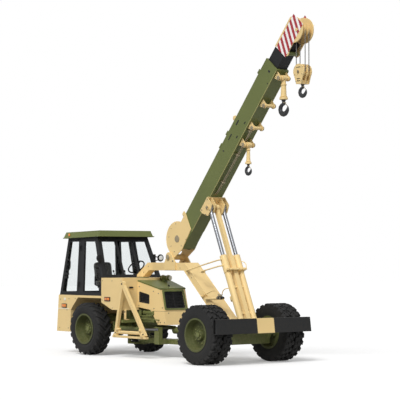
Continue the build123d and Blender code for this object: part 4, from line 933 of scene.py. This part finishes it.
def cushion(name, middle, half, lean, channels):
    """A stuffed cushion: half sizes along its length, width and thickness; channels are shares
    along it."""
    bm = bmesh.new()
    bmesh.ops.create_cube(bm, size=2)
    bmesh.ops.subdivide_edges(bm, edges=bm.edges, cuts=27, use_grid_fill=True)
    for vert in bm.verts:
        total = sum(abs(part) ** SQUARENESS for part in vert.co)
        u, v, w = vert.co * (max(abs(part) for part in vert.co) / total ** (1 / SQUARENESS))
        crown = (1 - abs(u) ** 2.4) * (1 - abs(v) ** 2.4)
        z = half[2] * w * ((0.66 + 0.34 * crown) if w > 0 else 1.0)
        if w > 0:
            fade = min(1.0, w * 1.6)
            for share in channels:
                sewn = exp(-((u - share) / CHANNEL_WIDE) ** 2) * (1 - v ** 8)
                z -= CHANNEL_SHARE * half[2] * sewn * fade
            for share in (-SEAM_AT, SEAM_AT):
                sewn = exp(-((v - share) / SEAM_WIDE) ** 2) * (1 - u ** 8)
                z -= SEAM_DEPTH * sewn * fade
        x = half[0] * u * (1 - WAIST * (1 - v * v))
        y = half[1] * v * (1 - WAIST * (1 - u * u))
        vert.co = (x, y, z)
    place = GROUND @ Matrix.Translation(middle) @ Matrix.Rotation(lean, 4, "Y")
    bmesh.ops.transform(bm, matrix=place, verts=bm.verts)
    welt = []
    for index in range(WELT_STEPS + 1):
        c, d = cos(tau * index / WELT_STEPS), sin(tau * index / WELT_STEPS)
        reach = (abs(c) ** SQUARENESS + abs(d) ** SQUARENESS) ** (-1 / SQUARENESS)
        u, v = c * reach, d * reach
        x = half[0] * u * (0.985 - WAIST * (1 - v * v))
        y = half[1] * v * (0.985 - WAIST * (1 - u * u))
        welt.append((x, y, 0.3 * half[2]))
    pipe_in(bm, welt, WELT_R, place, 3)
    piece = finished(name, bm, "rear", "black_plastic", "seat_vinyl", sharp=60, merge=False)


BACK_LEAN = radians(-90) - atan2(0.08, 0.45)
cushion("seat_cushion", (-4.66, SEAT_Y, 1.566), (0.242, 0.252, 0.067), 0.0, (-0.35, 0.2, 0.68))
cushion("seat_back", (-4.886, SEAT_Y, 1.8), (0.222, 0.236, 0.06), BACK_LEAN, (-0.55, 0.0, 0.5))

# %% [markdown]
# Levers with knobs and three pedals stand at the driver's hands and feet. A shelf carries the
# gauges.

# %% Levers, pedals and gauges
bm = bmesh.new()
rod_in(bm, (-3.735, 0.38, 1.64), (-3.86, 0.38, 1.8), 0.062, 28, 0.008, end_radius=0.085)
box_in(bm, (-3.86, -3.715), (-0.44, 0.44), (1.612, 1.632), 0.008)
for y, tall in ((-0.32, 0.2), (-0.22, 0.23), (-0.12, 0.23), (-0.02, 0.2)):
    rod_in(bm, (-3.8, y, 1.61), (-3.9, y, 1.61 + tall), 0.008, 12)
    knob = ((-3.895, y, 1.6 + tall), (-3.91, y, 1.64 + tall))
    rod_in(bm, *knob, 0.02, 20, 0.006, end_radius=0.016)
for y in (0.2, 0.34, 0.52):
    box_in(bm, (-3.96, -3.94), span(y, 0.04), (1.36, 1.46), 0.006)
    rod_in(bm, (-3.945, y, 1.4), (-3.86, y, 1.34), 0.01, 12)
finished("levers", bm, "rear", "black_plastic")

# The gauge glass is drawn pale: painted reflection.
bm = bmesh.new()
for y, size in ((-0.36, 0.03), (-0.27, 0.03), (0.1, 0.042), (0.2, 0.042)):
    bar_in(bm, (-3.862, -3.868), y, 1.52, size, 28, 0.003)
finished("gauges", bm, "rear", "steel_rod", "clear_lens")

# %% [markdown]
# ## Body hardware
# Bolts hold the cowl, the hood and the mudguards. The hood narrows towards the boom's foot, so
# its bolts take their Y from its slope.

# %% Bolts on the body
def hood_half(x):
    return 0.43 - (x + 2.88) * 0.1264


HOOD_BOLTS = (
    (-2.83, 1.5), (-2.41, 1.405), (-2.39, 1.04), (-2.84, 1.1), (-2.26, 1.36), (-2.14, 1.06),
    (-2.2, 0.75), (-2.08, 0.75))
LOW_WALL_BOLTS = ((-3.6, 1.2), (-2.92, 1.04), (-3.24, 1.04))
HIGH_WALL_BOLTS = ((-3.6, 1.62), (-3.25, 1.62), (-2.92, 1.62))
bm = bmesh.new()
for side in BOTH:
    for x, z in HOOD_BOLTS:
        bolt_in(bm, (x, side * (hood_half(x) + 0.002), z), (0.125, side, 0), 0.014)
bolts_in(bm, 0.84, 0.013, LOW_WALL_BOLTS)
bolts_in(bm, 0.84, 0.013, HIGH_WALL_BOLTS, sides=(-1,))
bolts_in(bm, 0.85, 0.014, (
    (-5.173, 1.192), (-4.84, 1.205), (-4.6, 1.215), (-5.2, 0.56), (-4.86, 0.56),
    (-4.92, 0.955)))
for y in (-0.22, 0.22):
    bolt_in(bm, (-2.082, y, 0.948), (0.96, 0, 0.28), 0.014)
finished("body_bolts", bm, "rear", "beige_paint", "bolt_steel")

# %% [markdown]
# A rubber latch holds the hood, and a thin dark seam runs round it. Pale strips and a plate mark
# the mudguards, and a pale end plate and two clamps belong to the canister on the hood.

# %% Latch, seams, trim
SEAM_Z, HOOD_END = 0.985, -2.0935
CANISTER_Y, CANISTER_Z = 0.2, 1.68
bm = bmesh.new()
box_in(bm, (-2.882, -2.864), (-0.66, -0.58), (1.462, 1.5), 0.006)
bar_in(bm, -2.862, (-0.66, -0.57), 1.481, 0.014, 20, 0.003)
rod_in(bm, (-2.36, 0.0, 1.5), (-2.352, 0.0, 1.533), 0.02, 20, 0.004)
for side in BOTH:
    seam = [(x, side * (hood_half(x) + 0.0005), SEAM_Z) for x in (-2.478, -2.0945)]
    rod_in(bm, *seam, 0.0022, 8)
bar_in(bm, HOOD_END, (-0.33, 0.33), SEAM_Z, 0.0022, 8)
finished("latch_and_seams", bm, "rear", "black_plastic")

bm = bmesh.new()
slabs_in(bm, (-5.268, -4.835), (0.849, 0.854), (0.976, 0.992), 0.001)
slabs_in(bm, (-5.03, -4.965), (0.849, 0.856), (1.165, 1.225), 0.002)
bar_in(bm, (-2.562, -2.55), CANISTER_Y, CANISTER_Z, 0.044, 32, 0.004)
finished("pale_trim", bm, "rear", "beige_paint", "pale_trim")

bm = bmesh.new()
for x in (-2.8, -2.62):
    bar_in(bm, span(x, 0.012), CANISTER_Y, CANISTER_Z, 0.0545, 36, 0.001)
    bar_in(bm, x, span(CANISTER_Y, 0.03), CANISTER_Z + 0.057, 0.007, 10)
finished("canister_clamps", bm, "rear", "steel_rod", "bolt_steel")

# %% [markdown]
# Under the hood's right side, over the rail, the hydraulic parts show: a pump with its end
# covers, a filter, a valve block with caps, and the steel pipes that leave them.

# %% Hydraulics
PUMP_Y, PUMP_Z = -0.335, 0.945
FILTER_X, FILTER_Y = -2.86, -0.375
bm = bmesh.new()
bar_in(bm, (-2.74, -2.4), PUMP_Y, PUMP_Z, 0.05, 32, 0.006)
for x in (-2.74, -2.57, -2.4):
    bar_in(bm, span(x, 0.012), PUMP_Y, PUMP_Z, 0.06, 32, 0.003)
box_in(bm, (-2.66, -2.46), (-0.375, -0.265), (0.86, 0.915), 0.006)
bar_in(bm, FILTER_X, FILTER_Y, (0.862, 0.985), 0.042, 28, 0.008)
bar_in(bm, FILTER_X, FILTER_Y, (0.985, 1.015), 0.026, 20, 0.004)
box_in(bm, (-2.98, -2.9), (-0.4, -0.33), (0.86, 0.96), 0.005)
for x in (-2.965, -2.94, -2.915):
    bar_in(bm, x, (-0.4, -0.415), 0.93, 0.01, 12, 0.002)
finished("pump", bm, "rear", "olive_paint")

OIL_PIPES = (
    (0.012, ((-2.94, -0.385, 0.9), (-2.93, -0.425, 0.895), (-2.85, -0.432, 0.89),
             (-2.55, -0.432, 0.875), (-2.42, -0.425, 0.885), (-2.4, -0.385, 0.915))),
    (0.012, ((-2.96, -0.385, 0.88), (-2.95, -0.445, 0.875), (-2.85, -0.452, 0.83),
             (-2.6, -0.452, 0.815), (-2.3, -0.45, 0.81), (-2.24, -0.42, 0.8),
             (-2.23, -0.355, 0.8))),
    (0.01, ((-2.6, -0.3, 0.99), (-2.6, -0.32, 1.02), (-2.56, -0.36, 1.03),
             (-2.5, -0.38, 1.01), (-2.48, -0.38, 0.95))),
)
bm = bmesh.new()
for radius, points in OIL_PIPES:
    pipe_in(bm, points, radius)
for x, y, z in ((-2.85, -0.432, 0.89), (-2.55, -0.432, 0.875), (-2.6, -0.452, 0.815)):
    bar_in(bm, span(x, 0.014), y, z, 0.02, 6, 0.002)
finished("oil_pipes", bm, "rear", "olive_paint")

# %% [markdown]
# The three-cornered side frame has a boss at each corner, bolts, and a pipe along its foot.

# %% Side frame fittings
bm = bmesh.new()
box_in(bm, (-2.885, -2.815), (-0.795, -0.78), (0.795, 1.01), 0.004)
box_in(bm, (-2.885, -2.815), (-0.795, -0.7), (0.795, 0.81), 0.003)
finished("pipe_bracket", bm, "rear", "beige_paint")

bm = bmesh.new()
bar_in(bm, -2.85, (-0.797, -0.778), 0.965, 0.018, 24)
bolts_in(bm, 0.94, 0.022, ((-2.77, 1.56), (-2.99, 0.52), (-2.03, 0.52)), sides=(-1,))
finished("frame_bolts", bm, "rear", "black_paint", "forged_steel")

# x, z, radius
BOSSES = (
    (-3.01, 0.475, 0.048), (-2.07, 0.495, 0.052), (-2.13, 0.6, 0.034), (-2.92, 0.6, 0.034))
bm = bmesh.new()
for x, z, radius in BOSSES:
    bar_in(bm, x, (-0.955, -0.862), z, radius, 28, 0.005)
    bar_in(bm, x, (-0.963, -0.955), z, radius * 0.5, 6, 0.002)
rod_in(bm, (-2.96, -0.905, 0.545), (-2.12, -0.905, 0.552), 0.028, 24, 0.004)
finished("side_frame_bosses", bm, "rear", "beige_paint")

# %% [markdown]
# A dark core stands behind the grille and the side vents, so that no daylight shows through.

# %% Radiator core
bm = bmesh.new()
hood_face = Matrix.Translation((HOOD_END, 0, SEAM_Z)) @ Matrix.Rotation(-0.284, 4, "Y")
box_in(bm, (-0.105, -0.085), (-0.285, 0.285), (0.045, 0.43), place=GROUND @ hood_face)
slabs_in(bm, (-2.86, -2.58), (0.35, 0.362), (1.03, 1.42))
finished("radiator_core", bm, "rear", "black_plastic", "black_mesh")

# %% [markdown]
# ## Tower and gooseneck
# Bolts and welded bosses sit where the plates meet.

# %% Bolts on the tower
bm = bmesh.new()
bars_in(bm, -2.09, (0.238, 0.25), 2.13, 0.052, 32, 0.004)
bolts_in(bm, 0.215, 0.02, ((-1.955, 2.045),))
bolts_in(bm, 0.185, 0.013, (
    (-2.2, 1.94), (-1.9, 1.93), (-1.74, 1.9), (-1.36, 1.7), (-0.98, 1.36), (-0.66, 1.075),
    (-0.5, 0.93)))
bolts_in(bm, 0.09, 0.013, ((-2.95, 1.93), (-3.12, 1.8)))
finished("tower_bolts", bm, "front", "beige_paint", "bolt_steel")

# %% [markdown]
# A small valve block sits on an arm from the tower and sends oil to the cylinders. It has
# bright caps and screws, and thin pipes of its own. Clamps on the tower hold the pipes.

# %% Valve block and clamps
bm = bmesh.new()
for x, z in ((-1.437, 1.836), (-0.955, 1.826), (-0.84, 1.27), (-0.969, 1.329)):
    box_in(bm, span(x, 0.03), (-0.236, -0.17), span(z, 0.022), 0.004)
    bar_in(bm, x, (-0.25, -0.236), z, 0.02, 16, 0.002)
rod_in(bm, (-0.84, -0.225, 1.272), (-0.27, -0.235, 1.3), 0.026, 24, 0.004)
finished("tower_clamps", bm, "front", "beige_paint")

VALVE_Y = -0.25
bm = bmesh.new()
box_in(bm, (-0.43, -0.3), (-0.285, -0.215), (1.27, 1.335), 0.006)
bar_in(bm, (-0.47, -0.43), VALVE_Y, 1.3, 0.02, 20, 0.003)
rod_in(bm, (-0.3, VALVE_Y, 1.305), (-0.255, VALVE_Y, 1.31), 0.02, 20, 0.003)
finished("valve_block", bm, "front", "black_paint", "forged_steel")

bm = bmesh.new()
for x, lean in ((-0.405, -0.02), (-0.365, 0.0), (-0.325, 0.024)):
    rod_in(bm, (x, VALVE_Y, 1.33), (x + lean, VALVE_Y, 1.385), 0.013, 14, 0.003)
for x in (-0.405, -0.325):
    bar_in(bm, x, (-0.283, -0.305), 1.302, 0.016, 6, 0.002)
finished("valve_caps", bm, "front", "steel_rod", "bolt_steel")

VALVE_PIPES = (
    ((-0.425, -0.25, 1.38), (-0.435, -0.25, 1.42), (-0.5, -0.24, 1.45), (-0.66, -0.222, 1.44),
     (-0.84, -0.215, 1.37), (-0.95, -0.21, 1.345)),
    ((-0.301, -0.25, 1.38), (-0.29, -0.255, 1.42), (-0.24, -0.262, 1.47),
     (-0.16, -0.262, 1.5), (-0.09, -0.232, 1.5)),
)
bm = bmesh.new()
for points in VALVE_PIPES:
    pipe_in(bm, points, 0.01)
finished("valve_pipes", bm, "front", "beige_paint")

# %% [markdown]
# Strips along the tower's edges are its welds, with a plate at its foot and a cap on the pivot.

# %% Tower edges
bm = bmesh.new()
for y in (-0.185, 0.185):
    rod_in(bm, (-1.61, y, 1.85), (-0.565, y, 0.86), 0.006, 8)
    rod_in(bm, (-1.595, y, 2.003), (-0.318, y, 0.855), 0.006, 8)
slabs_in(bm, (-0.6, -0.27), (0.16, 0.225), (0.85, 0.872), 0.004)
bar_in(bm, joints["articulation"]["pos_m"][0] - AXLE_X, 0, (1.82, 1.842), 0.06, 32, 0.005)
bar_in(bm, -3.3, 0, (1.745, 1.76), 0.02, 12)
finished("tower_edges", bm, "front", "beige_paint")

# %% [markdown]
# ## Lifting cylinders
# Two steel pipes reach across from the tower to the cylinders and move with them. Each barrel
# has a port block, a cap ring with bolts and a thin pipe along it, and the collar is bolted.

# %% Pipes across to the cylinders
CROSSING = (
    ((-1.45, -0.262, 1.845), (-1.3, -0.266, 1.876), (-0.9, -0.266, 1.965),
     (-0.48, -0.266, 2.052), (-0.38, -0.262, 2.072), (-0.325, -0.225, 2.08)),
    ((-0.95, -0.262, 1.835), (-0.8, -0.266, 1.862), (-0.46, -0.266, 1.93),
     (-0.34, -0.262, 1.952), (-0.28, -0.225, 1.96)),
)
bm = bmesh.new()
for points in CROSSING:
    pipe_in(bm, points, 0.014)
    x, y, z = points[-1]
    bar_in(bm, x, (y - 0.043, y), z, 0.026, 20, 0.003)
finished("crossing_pipes", bm, "lift_barrels", "beige_paint")

# %% [markdown]
# The next pieces are written along the cylinders: X along them and Z square to them.

# %% Cylinder fittings
BARREL_LINE = ((0.74, 0.075), (0.8, 0.088), (1.16, 0.088), (1.27, 0.092), (1.3, 0.07))
STRUT_LINE = (
    (1.46, 0.235, -0.03), (1.46, 0.262, -0.05), (1.4, 0.272, -0.1), (1.32, 0.265, -0.12),
    (1.28, 0.245, -0.1))
bm = bmesh.new()
for side in BOTH:
    y = side * CYLINDER_Y
    pipe_in(bm, [(x, y, z) for x, z in BARREL_LINE], 0.008, CYLINDER)
    for index in range(6):
        turned = tau * index / 6 + 0.3
        at = (1.605, y + 0.06 * cos(turned), 0.06 * sin(turned))
        bolt_in(bm, at, (1, 0, 0), 0.01, CYLINDER)
slabs_in(bm, (0.64, 0.75), span(CYLINDER_Y, 0.035), (0.055, 0.105), 0.004, CYLINDER)
bars_in(bm, 1.26, CYLINDER_Y, (0.07, 0.095), 0.018, 6, 0.002, CYLINDER)
bars_in(bm, (1.6, 1.606), CYLINDER_Y, 0, 0.068, 40, 0.002, CYLINDER)
bars_in(bm, (0.215, 0.235), CYLINDER_Y, 0, 0.069, 40, 0.003, CYLINDER)
for y in (-0.22, -0.13, -0.05, 0.05, 0.13, 0.22):
    bolt_in(bm, (1.27, y, -0.125), (0, 0, -1), 0.013, CYLINDER)
pipe_in(bm, STRUT_LINE, 0.008, CYLINDER)
finished("cylinder_fittings", bm, "lift_barrels", "beige_paint")

bm = bmesh.new()
bars_in(bm, 0.66, span(CYLINDER_Y, 0.037), 0.08, 0.012, 16, 0.002, CYLINDER)
bars_in(bm, 0.72, CYLINDER_Y, (0.1, 0.125), 0.014, 6, 0.002, CYLINDER)
bolts_in(bm, 0.215, 0.036, ((0, 0),), CYLINDER)
finished("cylinder_valves", bm, "lift_barrels", "black_paint", "forged_steel")

# %% [markdown]
# ## Hook block and hooks
# A forged hook is thickest at the bottom of its bowl, where it bends most, and thins towards
# its point. A circle is set at each step round the bowl and bridged to the next one. A spring
# latch closes the mouth.

# %% Forged hooks
# degrees round the bowl from the neck's side, half thickness as a share of the hook's size
HOOK_LINE = (
    (78, 0.088), (90, 0.098), (120, 0.112), (150, 0.126), (180, 0.138), (210, 0.148),
    (240, 0.156), (270, 0.16), (300, 0.152), (325, 0.134), (345, 0.112), (362, 0.086),
    (376, 0.058), (386, 0.026),
)
HOOK_REACH = 0.425
HOOK_MIDDLE = 1 - HOOK_REACH + 0.005
HOOK_FLAT = 0.118


def joint_x(joint):
    return joints[joint]["pos_m"][0] - AXLE_X


def hook_in(bm, x, middle, top, size):
    """A forged hook: middle is its bowl's height, top is where its neck goes into the shank."""
    for index, (degrees_round, thick) in enumerate(HOOK_LINE):
        turned = radians(degrees_round)
        reach = (HOOK_REACH - thick) * size
        at = Matrix.Translation((x + reach * cos(turned), 0, middle + reach * sin(turned)))
        oval = Matrix.Diagonal((thick * size, min(thick, HOOK_FLAT) * size, 1, 1))
        made = bmesh.ops.create_circle(
            bm, cap_ends=index in (0, len(HOOK_LINE) - 1), segments=18, radius=1,
            matrix=GROUND @ at @ Matrix.Rotation(-turned, 4, "Y") @ oval)
        loop = edges_of(made["verts"])
        if index:
            bmesh.ops.bridge_loops(bm, edges=before + loop)
            loop = [edge for edge in loop if edge.is_valid]
        before = loop
    bar_in(bm, x, 0, (middle + 0.28 * size, top + 0.02 * size), 0.098 * size, 24)
    bar_in(bm, x, 0, (top - 0.085 * size, top - 0.005), 0.135 * size, 6, 0.002)


for name in ("main_hook", "big_hook", "small_hook"):
    low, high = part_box(name)
    size = (high.y - low.y) / 0.2
    x = joint_x(f"{name}_swivel")
    top = low.z + size
    middle = top - HOOK_MIDDLE * size
    bm = bmesh.new()
    hook_in(bm, x, middle, top, size)
    forged = finished(f"{name}_forged", bm, name, "black_paint", "forged_steel")
    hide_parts(name)
    bm = bmesh.new()
    hinge_x, hinge_z = x + 0.085 * size, middle + 0.4 * size
    tip = (x + 0.375 * size, 0, middle + 0.15 * size)
    rod_in(bm, tip, (hinge_x, 0, hinge_z), 0.022 * size, 10)
    bar_in(bm, hinge_x, (-0.085 * size, 0.085 * size), hinge_z, 0.035 * size, 16, 0.001)
    finished(f"{name}_latch", bm, name, "steel_rod", "bolt_steel")

# %% [markdown]
# A collar on each shank carries the hook's nut.

# %% Shank collars
# shank, then a row for each collar: from the foot or the head, low, high, radius, soft
COLLARS = {
    "big": ((0, 0.0, 0.045, 0.084, 0.006), (0, 0.052, 0.066, 0.073, 0.003),
            (1, -0.2, -0.175, 0.06, 0.004)),
    "small": ((0, 0.0, 0.04, 0.064, 0.005), (0, 0.046, 0.058, 0.054, 0.003),
              (1, -0.17, -0.15, 0.046, 0.004)),
}
for name, rows in COLLARS.items():
    bm = bmesh.new()
    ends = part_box(f"{name}_hook_shank")
    for end, start, stop, radius, soft in rows:
        z = (ends[end].z + start, ends[end].z + stop)
        bar_in(bm, joint_x(f"{name}_hook_swivel"), 0, z, radius, 36, soft)
    finished(f"{name}_shank_collars", bm, f"{name}_shank", "beige_paint")

# %% [markdown]
# The block's cheeks have slots that show its sheaves, which are thin dark plates of painted shade. They also have
# a pin's head, and bolts round the edge.

# %% Block fittings
BLOCK_X = joint_x("main_hook_swivel")
bm = bmesh.new()
# Dark plates on the cheeks: painted shade in the slots.
for z, half in ((5.8, 0.055), (5.575, 0.048), (5.535, 0.04)):
    slabs_in(bm, span(BLOCK_X, half), (0.1095, 0.1115), span(z, 0.008), 0.0006)
finished("block_slots", bm, "hoist", "black_paint", "black_mesh")
bm = bmesh.new()
bolts_in(bm, 0.124, 0.03, ((BLOCK_X, 5.717),))
for half, z in ((0.1, 5.8), (0.075, 5.53), (0.105, 5.66)):
    bolts_in(bm, 0.11, 0.012, [(x, z) for x in span(BLOCK_X, half)])
finished("block_bolts", bm, "hoist", "beige_paint", "bolt_steel")

# %% [markdown]
# ## Floor
# The floor is a wide plate. It scatters light like card, and a little glow that only the
# background's rays see lifts it to white, so that it meets the white surround and still keeps
# the shadow. It throws less light back up than it shows.

# %% Floor
FLOOR_GLOW = 0.22
CARD, CARD_THROWN = (0.8, 0.8, 0.8, 1), (0.3, 0.3, 0.3, 1)
bm = bmesh.new()
bmesh.ops.create_grid(bm, x_segments=1, y_segments=1, size=70)
mesh = bpy.data.meshes.new("floor")
bm.to_mesh(mesh)
bm.free()
floor = bpy.data.objects.new("floor", mesh)
floor.location.z = -0.001
scene.collection.objects.link(floor)
card = bpy.data.materials.new("floor_card")
card.use_nodes = True
tree = card.node_tree
principled = tree.nodes["Principled BSDF"].inputs
principled["Roughness"].default_value = 1.0
principled["Specular IOR Level"].default_value = 0.0
principled["Emission Color"].default_value = (1, 1, 1, 1)
glow = maths("MULTIPLY", background_rays(tree), FLOOR_GLOW)
tree.links.new(glow, principled["Emission Strength"])
thrown = put(tree, "LightPath").outputs["Is Diffuse Ray"]
tree.links.new(mixed(thrown, CARD, CARD_THROWN), principled["Base Color"])
mesh.materials.append(card)
print("floor", floor.dimensions.x, "m wide")
